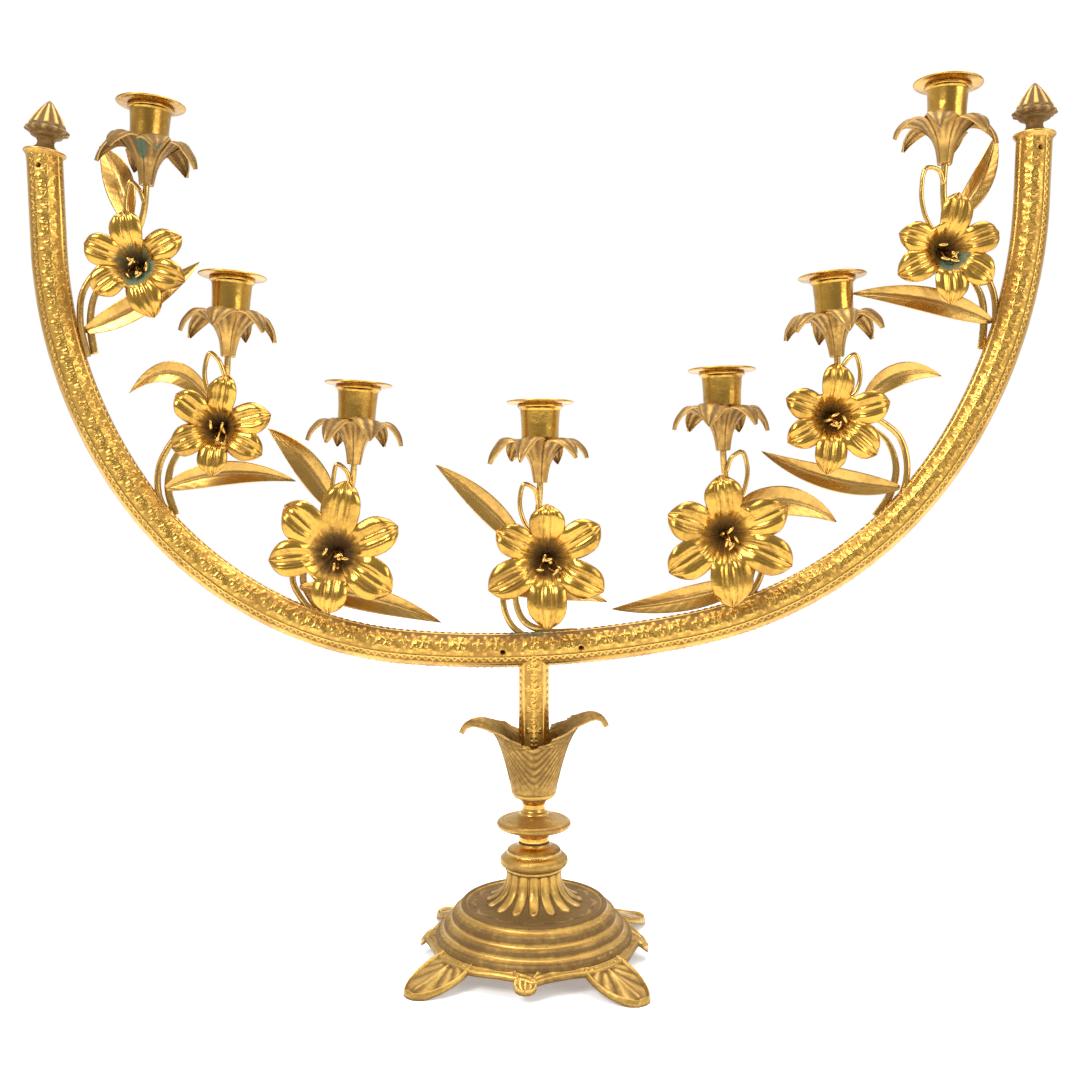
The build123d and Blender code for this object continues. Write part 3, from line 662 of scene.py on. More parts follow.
def leaf_cup():
    """Two great leaves that wrap the stem's foot and curl out to either side, on a plain ring.

    Each is a petal whose half width is a quarter turn of the cup, until it is a blade that narrows with
    1 - t.  Its veins are a cosine of the height less 2.1 times the swing away from the seam.  Two small
    round leaves stand at the head of each seam.
    """
    random = np.random.default_rng(8)
    skin = Skin()
    for turn, low in ((0.0, 0.0), (math.pi, -4.5)):
        spine = through([
            (13.0, 106.5), (14.2, 114), (16.6, 124), (19.8, 134.5), (23.6, 143.5), (29.0, 151.5 + 0.3 * low),
            (34.8, 156.6 + 0.8 * low), (41.0, 156.8 + low), (45.6, 153.4 + low), (48.0, 148.8 + low)], 0.9)
        t, a = lengthwise(len(spine), 61)
        radius = spine[:, :1]
        uneven = 0.05 * np.sin(t * 46 + turn) * rise(0.5, 0.6, t)
        ragged = 1 + uneven + 0.03 * random.standard_normal((len(spine), 1))
        blade = (1 - rise(0.5, 1.0, t) ** 1.2) * 27 * ragged + 0.6
        joined = radius * (math.pi / 2 + 0.02)
        free = np.minimum(np.maximum(joined * rise(0.62, 0.42, t), blade), radius * 1.57)
        half = np.where(t < 0.46, joined, free)
        from_seam = (1 - abs(a)) * 26
        swing = from_seam * from_seam / (from_seam + 7)
        veins = np.cos((spine[:, 1:] - 2.1 * swing) / 5.0 * TURN)
        curl = 1.2 * abs(a) * rise(0.75, 1, t) - 2.6 * rise(0.55, 1, abs(a)) * rise(0.45, 0.62, t)
        crease = 0.8 * ridge(a, 0, 0.12) * rise(0.4, 0.6, t)
        lifted = curl + crease - 0.36 * veins * rise(0.05, 0.15, t) * rise(0.02, 0.12, 1 - abs(a))
        groove = 0.5 + 0.5 * veins
        # Darker inside towards the base, and outside in the vein grooves and low down: painted shade with
        # patina.
        inner = 0.5 + 0.3 * rise(0.8, 0.3, t)
        outer = 0.35 + 0.5 * groove ** 2 * rise(0.0, 0.2, t) + 0.2 * rise(0.3, 0.0, t)
        edge = np.maximum(rise(0.9, 1.0, abs(a)) * rise(0.45, 0.6, t), rise(0.93, 1, t))
        skin.add_sheet(petal(spine, half, lifted, 1.7, turn), (inner, outer), (0.6 * edge, 0.7 * edge))
    outline = eased([
        (4.3, 103.1), (12.6, 103.1), (13.6, 103.6), (14.2, 105.2), (13.9, 106.6), (13.0, 107.2), (12.6, 108.6),
        (4.3, 108.6)], 0.5)
    hollow, wear_and_sheen = outline_marks(outline)
    skin.add(spun(outline, 72), 0.3 + hollow, wear_and_sheen + 0.2, ring=True)
    spine = through([(16.0, 126), (18.4, 133), (19.8, 138), (21.6, 140.4), (23.6, 139.6)], 0.6)
    t, a = lengthwise(len(spine), 11)
    half = 4.6 * np.sqrt(np.clip(1 - (2 * t - 1) ** 2, 0.01, 1))
    lifted = 0.5 * np.cos(a * 9) - 0.9 * a * a + 0 * t
    for turn in (-math.pi / 2, math.pi / 2):
        for side in (-1, 1):
            skin.add(petal(spine, half, lifted, 1.4, turn + side * 0.21, bend=side * 0.1), 0.4, 0.2)
    skin.make("leaf_cup_cast", "cast_gilt", "stand", "acanthus_cup")


def bell():
    """The fluted bell: turned collar rings above, and below them tongues that flare onto the dome.

    The flare is a spine spun round Z, raised square to itself by 1.75 * sqrt(1 - 0.75 * (across / 0.85)^2)
    inside each tongue, whose end is a half circle, and by 0.45 on the pointed tip between two tongues.
    """
    skin = Skin()
    outline = evenly(eased([
        (4.3, 56), (4.3, 73.9), (9.9, 73.9), (10.2, 72.6), (11.2, 71.6), (14.0, 70.8), (16.4, 70.0),
        (17.4, 68.8), (17.0, 67.6), (17.6, 66.8), (19.6, 66.0), (21.6, 64.2), (22.2, 61.9), (21.4, 59.8),
        (19.4, 58.6), (18.2, 58.0), (18.6, 57.0), (18.4, 56.0), (17.4, 55.4), (16.9, 54.4),
        (10, 54)], 0.5), 0.5)
    hollow, wear_and_sheen = outline_marks(outline)
    # Darker on the faces that look down, where the outline's radius shrinks: painted shade under the rings.
    upward = rise(0.0, 1.0, np.gradient(outline[:, 0]) / -0.4)[:, None]
    skin.add(spun(outline, 112), hollow + 0.25 * upward, wear_and_sheen, ring=True)

    spine = through([
        (15.9, 56.5), (16.2, 52), (17.0, 47.5), (19.0, 43.2), (22.4, 39.4), (27.0, 36.4), (32.0, 34.8),
        (39, 34.3)], 0.6)
    slope = unit(np.gradient(spine, axis=0))
    radius = spine[:, :1]
    height = spine[:, 1:]
    angle = spokes(TONGUES * 26)
    across = wrapped(angle, TURN / TONGUES) * TONGUES / math.pi
    reach = 30.8 + 0.7 * np.cos(angle * 3 + 1)
    end = np.sqrt(np.clip(1 - (np.clip(radius - reach + 4.4, 0, 4.4) / 4.4) ** 2, 0, 1))
    broad = 0.78 - 0.26 * rise(18, 29, radius)
    tongue = rise(0.12, -0.08, abs(across) - broad * end) * (radius < reach)
    round_top = np.sqrt(np.clip(1 - 0.75 * (across / 0.85) ** 2, 0, 1))
    beside = 1 - abs(across)
    tip = rise(0.1, -0.05, beside - 0.26 * np.clip((36.5 - radius) / 7, 0, 1)) * rise(28, 31, radius)
    lifted = 1.75 * tongue * round_top + 0.45 * tip
    outer = rings(radius - slope[:, 1:] * lifted, height + slope[:, :1] * lifted, angle)
    inner = rings(radius[::-1] * 0.98 - 0.5, np.minimum(height[::-1] - 1.5, 52), angle)
    # Painted shade between the tongues, low on the flare and over the hidden inside, with patina; wear and a
    # painted highlight on the tongues.
    dark = (1 - tongue) * 0.95 * rise(17, 20, radius) + 0.35 * rise(54, 46, height)
    shine = tongue * np.maximum(0.75 * rise(26, 29, radius), 0.35) + 0.25 * tip
    skin.add(
        np.concatenate([outer, inner]), np.concatenate([dark, np.ones_like(dark)]),
        np.concatenate([shine, np.zeros_like(shine)]), ring=True)
    skin.make("fluted_bell_cast", "cast_gilt", "stand", "fluted_bell")


def dome():
    """The foot's dome and its brim.

    The dome is spun: a sunken dish, a rim, two rounds, a cove and the outer ring.  In the dish each of
    the faint leaves is as wide as a sine of the distance out, to the power 0.7.  The brim's edge bulges by
    5.2 * exp(-angle / 0.13) towards each bracket, and it carries two beads.
    """
    outline = evenly(eased([
        (4.4, 31.2), (4.4, 33.6), (30, 33.8), (38, 33.9), (43.2, 34.2), (44.6, 35.6), (46.4, 35.6),
        (47.4, 34.4), (47.3, 32.8), (48.4, 31.8), (50.8, 31.0), (52.6, 29.6), (53.3, 27.6), (52.9, 25.8),
        (53.4, 24.8), (55.6, 24.2), (57.6, 23.0), (58.4, 21.2), (58.2, 19.8), (59.2, 19.0),
        (61.8, 18.2), (63.4, 16.4), (63.8, 14.0), (63.0, 12.4), (61.0, 11.8), (56, 12.2), (53, 18),
        (47.5, 24), (42, 28), (36, 31)], 0.6), 0.55)
    angle = spokes(240)
    radius = outline[:, :1]
    hollow, wear_and_sheen = outline_marks(outline)
    dish = ((outline[:, 1] > 33) & (outline[:, 0] < 43.5))[:, None]
    across = abs(wrapped(angle, TURN / DISH_LEAVES)) * DISH_LEAVES / math.pi
    width = 0.9 * np.sin(np.clip((radius - 31) / 11.5, 0, 1) * math.pi) ** 0.7
    leaf = rise(0.15, -0.1, across - width) * rise(31, 33, radius) * dish
    veins = leaf * (0.5 + 0.5 * np.cos(radius * 1.1 + across * 5))
    height = outline[:, 1:] + 0.5 * leaf * (0.6 + 0.4 * veins)
    # The sunk dish round the bell is darkened all over, its faint leaves a little less: painted shade with
    # patina.
    dark = np.where(dish, 0.95 - 0.3 * leaf * veins, 0.36 + 1.1 * hollow)
    # Flecks rubbed bright on two of the outer rounds, on one side of the dome: wear.
    flecks = rise(0.55, 0.8, np.sin(angle * 61) * np.sin(angle * 37 + radius) ** 2)
    flecks = flecks * ridge(wrapped(angle + 0.62, TURN), 0, 0.5)
    brightened = flecks * np.maximum(ridge(radius, 49, 1.5), ridge(radius, 62.5, 1.2)) * ~dish
    skin = Skin()
    skin.add(rings(radius, height, angle), dark * (1 - brightened), 0.8 * wear_and_sheen + 1.6 * brightened, ring=True)

    from_bracket = abs(wrapped(angle, math.pi / 2))
    edge = 66.8 + 5.2 * np.exp(-from_bracket / 0.13) + 2.0 * rise(0.3, 0.62, from_bracket)
    out = DOME_EDGE + np.linspace(0, 1, BRIM_ROWS)[:, None] * (edge - DOME_EDGE)
    top_z = np.interp(out, [52, 58, 62, 66, 72, 76], [16.6, 15.8, 14.9, 13.2, 11.2, 9.9])
    bead = np.maximum(ridge(edge - out, 1.1, 1.1), 0.7 * ridge(edge - out, 4.4, 1.0))
    top = rings(out, top_z + 0.8 * bead, angle)
    low = rings(out[::-1], top_z[::-1] - 2.2, angle)
    # The brim is darker off its beads and darker still underneath: painted shade with patina; the beads get
    # wear and painted highlights.
    skin.add(
        np.concatenate([top, low]), np.concatenate([0.45 - 0.4 * bead, np.full_like(bead, 0.8)]),
        np.concatenate([0.6 * bead, np.zeros_like(bead)]), ring=True)
    skin.make("foot_dome_cast", "cast_gilt", "stand", "foot_casting")


def slab(radius, side, top_z, low_z, turn):
    """A sheet whose two sides are at heights top_z and low_z, radius out from Z and side across, turned."""
    radius = np.broadcast_to(radius, side.shape)
    first = np.stack([radius, side, top_z], -1)
    second = np.stack([radius, side, low_z], -1)
    return stood(sheet(first, second), (0, 0, 0), (0, 0, 1), BASE_TURN + turn)


def palmette_foot(number):
    """A foot: a rounded palmette that slopes to the table.

    Half its width and the heights of its two sides are given at distances out, and read between them.
    On top stand a rim, a fan of lobes as abs(cos) of the angle about the fan's start, a stalk along the
    middle, and a scroll with an eye at either side of the fan's start.
    """
    t, a = lengthwise(96, 61)
    radius = DOME_EDGE + (FOOT_REACH - DOME_EDGE) * np.sin(t * math.pi / 2)
    half = np.interp(
        radius, [52, 60, 66, 72, 78, 84, 90, 94, 97, 99, FOOT_REACH],
        [12.0, 14.6, 16.2, 17.0, 16.6, 15.2, 12.6, 10.0, 7.2, 4.6, 0.4])
    ground = np.interp(radius, [52, 58, 64, 74, 86, 96, 102], [16.6, 15.2, 13.2, 9.6, 5.6, 3.0, 2.2])
    under = np.interp(radius, [52, 62, 72, 84, 92, 95, 102], [13.5, 11.0, 7.8, 3.6, 0.9, 0.0, 0.0])
    side = half * a
    inset = np.minimum(half * (1 - abs(a)), (FOOT_REACH - radius) * 0.9)
    rim = ridge(inset, 1.2, 1.2)
    field = rise(2.2, 3.0, inset)
    fan = abs(np.arctan2(side, radius - FAN_START))
    away = np.hypot(side, radius - FAN_START)
    ribs = abs(np.cos(fan * 7.8 - 0.06 * away))
    lobe = ribs ** 0.6 * rise(7, 11, away) * rise(1.8, 4.2, inset)
    from_eye = np.hypot(abs(side) - 6.4, radius - 65)
    scroll = np.maximum(ridge(from_eye, 3.0, 1.1), rise(1.5, 0.9, from_eye))
    stalk = ridge(side, 0, 1.2 + 0.05 * (radius - FAN_START)) * rise(66, 70, radius) * rise(97, 93, radius)
    raised = field * np.maximum(scroll, stalk)
    relief = 1.1 * rim - 1.0 * field * (1 - lobe) + 1.1 * raised * (1 - 0.6 * lobe) - 0.5 * rise(1.0, 0, inset)
    top_z = ground + relief + 0.9 * (1 - a * a)
    low_z = np.minimum(under, top_z - 1.2)
    grid = slab(
        radius, side, np.maximum(top_z, 1.3), np.maximum(low_z, 0), math.pi / 4 + number * math.pi / 2)
    # Painted shade in the sunk field between the lobes and on the underside, with patina; wear and a painted
    # highlight on the rim and on the crests of the lobes, the scrolls and the stalk.
    dark = 0.3 + 0.7 * field * (1 - lobe) * (1 - raised)
    shine = np.maximum(0.6 * rim, 0.6 * field * np.maximum(lobe * ribs ** 3, raised))
    skin = Skin()
    skin.add_sheet(grid, (dark, 0.7), (shine, 0.0))
    skin.make(f"palmette_foot_{number + 1}", "cast_gilt", "stand", "foot_casting")


def bracket(number):
    """A bracket between two feet: two ribs that curve together into a small shell.

    Its width and height are read from distances out.  Each rib is a raised cosine across it, and the
    shell's lobes are abs(cos(6.6 * a)) to the power 0.7.
    """
    t, a = lengthwise(60, 49)
    radius = BRACKET_START + (BRACKET_REACH - BRACKET_START) * np.sin(t * math.pi / 2)
    half = np.interp(
        radius, [57, 62, 66, 69, 71, 72.6, 73.6, BRACKET_REACH], [14, 10.5, 7.2, 6.2, 6.8, 5.6, 3.4, 0.6])
    ground = np.interp(radius, [57, 62, 66, 70, BRACKET_REACH], [15.2, 14.2, 12.6, 10.2, 6.6])
    rib = ridge(abs(a), 0.72, 0.26) * rise(71, 68, radius)
    shell = 1.5 * rise(67, 69.5, radius) * abs(np.cos(a * 6.6)) ** 0.7
    top_z = ground + 1.3 * rib + 1.1 * shell + 0.3
    low_z = np.minimum(ground - 1.8, top_z - 1.2)
    raised = np.maximum(rib, shell)
    grid = slab(radius, half * a, top_z, low_z, number * math.pi / 2)
    skin = Skin()
    # Painted shade off the ribs and the shell and on the underside, with patina; wear and a painted highlight
    # on the ribs and the shell.
    skin.add_sheet(grid, (0.65 - 0.5 * raised, 0.7), (0.6 * raised, 0.1))
    skin.make(f"shell_bracket_{number + 1}", "cast_gilt", "stand", "foot_casting")


# ---------------------------------------------------------------- branches

def calyx(light):
    """Six sepals grow together from a narrow foot, then spread and droop, no two alike.

    Each is a petal as wide as its sixth of the way round, until its own width is less.  It is lifted by
    ribs, 0.34 * cos(8.2 * a), a crease along the middle, and an arch of -1.8 * a^2 where it is free.
    """
    random = np.random.default_rng(40 + light.number)
    skin = Skin()
    green = light.green_calyx
    age = 0.08 + 0.3 * green
    for k in range(6):
        size = 1 + 0.07 * random.uniform(-1, 1)
        droop = random.uniform(-2.2, 2.2)
        crest = random.uniform(-0.8, 0.8)
        spine = through([
            (3.5, 0), (4.2, 5), (5.8, 12), (8.4, 17.6), (11.8, 22.6), (15.4, 26.4 + 0.4 * crest),
            (19.8 * size, 28.8 + crest), (24.6 * size, 28.2 + crest), (29.0 * size, 24.4 + 0.4 * droop),
            (32.2 * size, 19.4 + 0.8 * droop), (33.6 * size, 14.4 + droop)], 0.8)
        t, a = lengthwise(len(spine), 15)
        joined = spine[:, :1] * (math.pi / 6 + 0.03)
        free = np.interp(t, [0, 0.5, 0.62, 0.72, 0.8, 0.88, 0.95, 1], [12, 12, 10.8, 9.0, 7.4, 5.2, 2.9, 0.4])
        half = np.minimum(joined, free * random.uniform(0.9, 1.08))
        ribs = 0.34 * np.cos(a * 8.2) * rise(0.25, 0.45, t) * rise(1, 0.85, t)
        crease = -0.9 * ridge(a, 0, 0.2) * rise(0.3, 0.5, t)
        arch = -1.8 * a * a * rise(0.3, 0.55, t) - 0.55 * a * a
        grid = petal(
            spine, half, ribs + crease + arch, 0.9, light.sepals + k * math.pi / 3,
            bend=0.1 * random.uniform(-1, 1), twist=0.35 * random.uniform(-1, 1))
        # Beside the patina of age, painted shade with patina in the grooves between the ribs, low down inside
        # the cup and along the seams between the sepals.
        lines = 0.5 - 0.5 * np.cos(a * 8.2)
        seam = rise(0.75, 1, abs(a)) * rise(0.5, 0.3, t)
        inner = age + 0.3 + 0.45 * lines * rise(0.3, 0.5, t) + 0.5 * rise(0.5, 0.3, t)
        outer = age + 0.2 + 0.5 * lines * rise(0.15, 0.5, t) + 0.6 * seam
        edge = rise(0.85, 1, abs(a)) * rise(0.4, 0.6, t)
        beside_front = {2: rise(0.1, 0.9, a), 3: rise(-0.1, -0.9, a)}.get(k, 0)
        at_tip = rise(0.78, 1, t) * random.uniform(0.2, 1)
        mould = green * np.maximum(at_tip, 1.5 * rise(0.2, 0.08, abs(t - 0.42)) * beside_front)
        skin.add_sheet(stood(grid, light.foot, light.axis), (inner, outer), (edge, edge), (mould, mould))
    ring = spun(eased([(2.1, 0), (3.8, 0), (4.3, 0.8), (4.2, 2.0), (3.8, 2.8), (2.1, 2.8)], 0.4), 32)
    skin.add(stood(ring, light.foot, light.axis), 0.2, 0.3, ring=True)
    name = f"calyx_{light.number}"
    skin.make(f"{name}_sepals", "satin_gilt", "bow", name)


def lily(light):
    """Six stamped petals spread from a wrinkled funnel.

    Along each petal the half width follows the funnel's sixth until the notch, then swells and closes to
    a small point.  Across it stand a midrib, two creases and two rounded cheeks, each a sine or a raised
    cosine of a, and the funnel is pleated by two cosines of a.
    """
    random = np.random.default_rng(70 + light.number)
    skin = Skin()
    size = np.mean([reach for _, reach in light.petals])
    turns = np.radians([degrees for degrees, _ in light.petals])
    lip = 22.6 + 0.9 * (size / 33.5 - 1)
    notch = 0.46 * size
    for k, (_, reach) in enumerate(light.petals):
        wave = random.uniform(-1, 1, 4)
        far = reach - notch
        spine = through([
            (2.3, 1.0), (3.4, 6.0), (0.17 * size + 0.6, 12.2), (0.32 * size, 18.2), (notch, 21.6),
            (notch + 0.34 * far, lip + 0.6 + 0.5 * wave[1]), (notch + 0.7 * far, lip + 0.4 + 0.8 * wave[0]),
            (reach, lip - 3.6 + 1.6 * wave[0])], 0.8)
        t, a = lengthwise(len(spine), 37)
        radius = spine[:, :1]
        past = (turns[k] - turns[k - 1]) % TURN / 2
        coming = (turns[(k + 1) % 6] - turns[k]) % TURN / 2
        joined = radius * (np.where(a < 0, past, coming) + 0.045)
        belly = 0.295 * (0.6 * size + 0.4 * reach) * (1 + 0.07 * wave[2])
        free = belly * np.interp(
            (radius - notch) / far, [0, 0.12, 0.35, 0.55, 0.7, 0.82, 0.9, 0.96, 1.0],
            [0.88, 0.96, 1.02, 1.0, 0.91, 0.74, 0.56, 0.34, 0.04])
        half = np.where(radius < notch, joined, np.minimum(joined, free))

        fade = rise(1.0, 0.85, t)
        cheeks = 1.5 * np.sin(np.clip(abs(a), 0, 1) * math.pi * 0.9) ** 1.1
        midrib = 0.75 * ridge(a, 0, 0.13) - 0.55 * ridge(abs(a), 0.2, 0.12)
        creases = -0.32 * ridge(abs(a), 0.5 - 0.14 * t, 0.14)
        pleats = 0.2 * np.cos(a * 11 + 3 * wave[3]) + 0.16 * np.cos(a * 17 + 3 * wave[0])
        wrinkles = pleats * rise(0.12, 0.22, t) * rise(0.52, 0.38, t)
        opened = rise(0.38, 0.58, t) * (cheeks * fade + midrib + creases * fade - 1.2 * a ** 4)
        overlap = 0.3 if k % 2 else 0.0
        grid = petal(spine, half, opened + wrinkles - overlap, 0.7, turns[k], twist=0.14 * wave[1])

        # The front darkens down the throat, along the crease lines and at the edges: patina and painted shade,
        # deepest in the funnel. The midrib gets wear and a painted highlight.
        throat = 0.92 * rise(0.52, 0.12, radius / size) * light.throat
        lines = ridge(abs(a), 0.2, 0.1) * 0.5 + ridge(abs(a), 0.44, 0.1) * 0.45
        front = np.maximum(throat * (1.05 + 0.1 * np.cos(a * 8 + 3 * wave[3])), lines * rise(0.45, 0.6, t))
        front = np.maximum(front, 0.5 * rise(0.93, 1, abs(a)) * rise(0.45, 0.6, t))
        shine = 0.8 * ridge(a, 0, 0.1) * rise(0.4, 0.6, t)
        lower = 0.5 if k in (3, 4) else 0.0
        mould = light.green_lily * (rise(0.52, 0.32, radius / size) * 0.75 + lower * rise(0.8, 0.5, t))
        skin.add_sheet(facing_front(grid, light), (front, 0.35), (shine, 0.0), (mould, 0.3 * mould))
    # The button at the heart of the flower is darkened all over: painted shade down the throat.
    button = spun(eased([(0.3, 0.2), (3.4, 0.2), (3.8, 3.0), (2.6, 4.4), (0.3, 5.0)], 0.6, closed=False), 24)
    skin.add(facing_front(button, light), 1.0)
    name = f"lily_{light.number}"
    skin.make(f"{name}_petals", "polished_gilt", "bow", name)


def leaf_blade(skin, base, tip, arch, width, twist):
    """A long pointed leaf, folded a little along its midrib.

    At t from base to tip the midrib stands arch * 4t(1 - t) above the straight line and bulges to the
    front by 2.4 * sin(pi * t).  Half the width is a sine of t drawn out towards the tip.  The two halves
    tip forwards by the fold, and faint side veins slope to the tip.
    """
    base = np.array(base, float)
    along = np.array(tip, float) - base
    length = np.linalg.norm(along)
    along /= length
    front = unit(FORWARD - along * (FORWARD @ along))
    up = np.cross(front, along) * (1 if along[0] > 0 else -1)
    t, a = lengthwise(80, 21)
    spine = base + length * t * along + arch * 4 * t * (1 - t) * up + 2.4 * np.sin(t * math.pi) * front
    heading = unit(np.gradient(spine, axis=0))
    twisted = math.radians(twist) * (t - 0.5)
    side = np.cross(front, heading) * np.cos(twisted) + front * np.sin(twisted)
    square = np.cross(heading, side)
    half = width / 2 * np.sin(np.clip(t, 0, 1) ** 0.82 * math.pi) ** 0.85 + 0.9 * (1 - t)
    fold = 0.34 * abs(a) ** 1.2 * half - 0.05 * half * a ** 4
    rib = (0.45 * ridge(a, 0, 0.12) - 0.3 * ridge(abs(a), 0.16, 0.1)) * rise(0.02, 0.1, t)
    waves = np.cos(t * 70 - abs(a) * 9)
    lifted = fold + rib + 0.035 * waves * rise(0.1, 0.3, abs(a))
    sides = []
    for depth in (0.0, 0.7):
        away = (lifted - depth * (1 - 0.6 * a ** 8))[..., None]
        sides.append(spine[:, None] + (half * a)[..., None] * side[:, None] + away * square[:, None])
    # Darker in the grooves beside the midrib and a little between the faint veins: painted shade with patina.
    crease = 0.75 * ridge(abs(a), 0.14, 0.12) + 0.08 * (0.5 - 0.5 * waves)
    edge = rise(0.9, 1, abs(a)) * 0.35 + 0.7 * ridge(a, 0, 0.08)
    skin.add_sheet(sheet(*sides), (crease, crease), (edge, 0.0))


def branch(light):
    """A light's stem with its ribbon, the thin loop that carries the lily, and the two leaves."""
    foot = light.foot
    axis = light.axis
    stem_wire = Skin()
    line = through([*light.stem, foot - axis * 0.2, foot + axis * 6], 1.2)
    # Darker over its first 30 points, where it meets the bow: painted shade with patina.
    stem_wire.add(wire(line, WIRE_R, 16), 0.15 + 0.5 * rise(30, 0, np.arange(len(line)))[:, None])
    band = through(light.ribbon, 1.2)
    taper = 1 - 0.55 * np.linspace(0, 1, len(band)) ** 2
    stem_wire.add(strap(band, RIBBON_WIDTH * taper, RIBBON_THICK), 0.25, 0.15)
    stud = rings(1.9, np.linspace(4, 18, 6)[:, None], spokes(12))
    stem_wire.add(stood(stud, foot, axis), 0.3)

    thin_wire = Skin()
    line = through([*light.loop, light.flower + [0, -1.5, 0]], 0.8)
    thin_wire.add(wire(line, THIN_WIRE_R, 14), 0.2)

    blades = Skin()
    for leaf in light.leaves:
        leaf_blade(blades, *leaf)

    for skin, node, kind, finish in (
            (stem_wire, "branch_stem", "wire", "wire_gilt"), (thin_wire, "flower_stem", "wire", "wire_gilt"),
            (blades, "leaves", "blades", "satin_gilt")):
        name = f"{node}_{light.number}"
        skin.make(f"{name}_{kind}", finish, "bow", name)


def stamens():
    """Five curled stamens and a knobbed pistil in each throat, bent anyhow.

    Each is a wire along a smooth curve through four points about the flower's axis.  Across its tip lies a
    bar whose radius is that of its knob times sqrt(1.02 - t^2).
    """
    skin = Skin()
    for light in LIGHTS:
        random = np.random.default_rng(90 + light.number)
        for k in range(6):
            pistil = k == 5
            turn = k * TURN / 5 + random.uniform(-0.5, 0.5)
            out = 0.8 if pistil else random.uniform(3.0, 6.5)
            sag = np.array([random.uniform(-1, 3), -random.uniform(2.0, 6.0), 0])
            tall = np.array([0, 0, random.uniform(15, 21)])
            side = np.array([math.cos(turn), math.sin(turn), 0])
            cross = np.array([-math.sin(turn), math.cos(turn), 0]) * random.uniform(-4, 4)
            tip = side * out + cross * 0.6 + sag + tall
            line = through([
                side * 0.4 + [0, 0, 2], side * out * 0.25 + cross * 0.4 + tall * 0.4,
                side * out * 0.6 - cross * 0.5 + sag * 0.5 + tall * 0.75, tip], 0.7)
            skin.add(wire(facing_front(line, light), 0.85 if pistil else 0.55, 8), 0.1, 0.4)
            lying = unit(side * random.uniform(-1, 1) + cross * 0.4 + [0.3, 0.6, 0.25])
            bar = lying * (1.4 if pistil else 3.1)
            knob = facing_front(through([tip - bar, tip, tip + bar], 0.5), light)
            t = np.linspace(-1, 1, len(knob))
            skin.add(wire(knob, (1.7 if pistil else 1.15) * np.sqrt(1.02 - t * t), 10), 0.1, 0.35)
    skin.make("stamens_in_throats", "wire_gilt", "bow", "stamen_bunches")


# ---------------------------------------------------------------- finishes

class Term:
    """A node's output: sums written on it add Math nodes."""

    def __init__(self, nodes, socket):
        self.nodes = nodes
        self.socket = socket

    def sum(self, operation, a, b):
        """A Math node on two terms or numbers."""
        return self.nodes.node("ShaderNodeMath", {"operation": operation}, {0: a, 1: b})

    def __add__(self, other):
        return self.sum("ADD", self, other)

    def __sub__(self, other):
        return self.sum("SUBTRACT", self, other)

    def __rsub__(self, other):
        return self.sum("SUBTRACT", other, self)

    def __mul__(self, other):
        return self.sum("MULTIPLY", self, other)

    def larger(self, other):
        """Whichever of the two is larger."""
        return self.sum("MAXIMUM", self, other)

    __radd__ = __add__
    __rmul__ = __mul__


class Nodes:
    """The nodes of a material or of the world, which owns them."""

    def __init__(self, owner):
        owner.use_nodes = True
        self.owner = owner
        self.tree = owner.node_tree
        self.tree.nodes.clear()

    def node(self, kind, settings, inputs, output=0):
        """A new node: its settings first, then each input's value or link.  Gives the output as a term."""
        made = self.tree.nodes.new(kind)
        for key, value in settings.items():
            setattr(made, key, value)
        for key, value in inputs.items():
            if isinstance(value, Term):
                self.tree.links.new(value.socket, made.inputs[key])
            else:
                made.inputs[key].default_value = value
        return Term(self, made.outputs[output]) if made.outputs else None


class Finish(Nodes):
    """A material in the making."""

    def __init__(self, name):
        super().__init__(bpy.data.materials.new(name))
        self.place = self.node("ShaderNodeTexCoord", {}, {}, "Object")

    def mark(self, name):
        """A mark of the skin, from 0 to 1."""
        return self.node("ShaderNodeAttribute", {"attribute_name": name}, {}, "Fac")

    def noise(self, per_metre, detail, rough):
        """Cloudy noise from 0 to 1, that many blots to the metre."""
        inputs = {"Vector": self.place, "Scale": per_metre, "Detail": detail, "Roughness": rough}
        return self.node("ShaderNodeTexNoise", {}, inputs)

    def between(self, value, low, high):
        """0 up to low, 1 from high on, and smooth between them."""
        inputs = {"Value": value, "From Min": low, "From Max": high}
        return self.node("ShaderNodeMapRange", {"interpolation_type": "SMOOTHSTEP"}, inputs)

    def blend(self, factor, one, other):
        """A colour from one to other.  Input 0 of the Mix node is its factor, 6 and 7 are its two colours."""
        one, other = (c if isinstance(c, Term) else (*c, 1.0) for c in (one, other))
        return self.node("ShaderNodeMix", {"data_type": "RGBA"}, {0: factor, 6: one, 7: other}, 2)

    def bumpy(self, height, depth):
        """Normals of a surface that height raises by up to depth, in metres."""
        return self.node("ShaderNodeBump", {}, {"Strength": 1.0, "Distance": depth, "Height": height})

    def done(self, **values):
        """The material, with these values on its Principled shader."""
        inputs = {key.replace("_", " "): value for key, value in values.items()}
        shader = self.node("ShaderNodeBsdfPrincipled", {}, inputs)
        self.node("ShaderNodeOutputMaterial", {}, {"Surface": shader})
        return self.owner


CLOUDS = (38, 5, 0.6)                   # noises: blots to the metre, detail, roughness
SPECKS = (320, 5, 0.65)
DUST = (1500, 3, 0.6)
VERDIGRIS = (0.055, 0.12, 0.075)


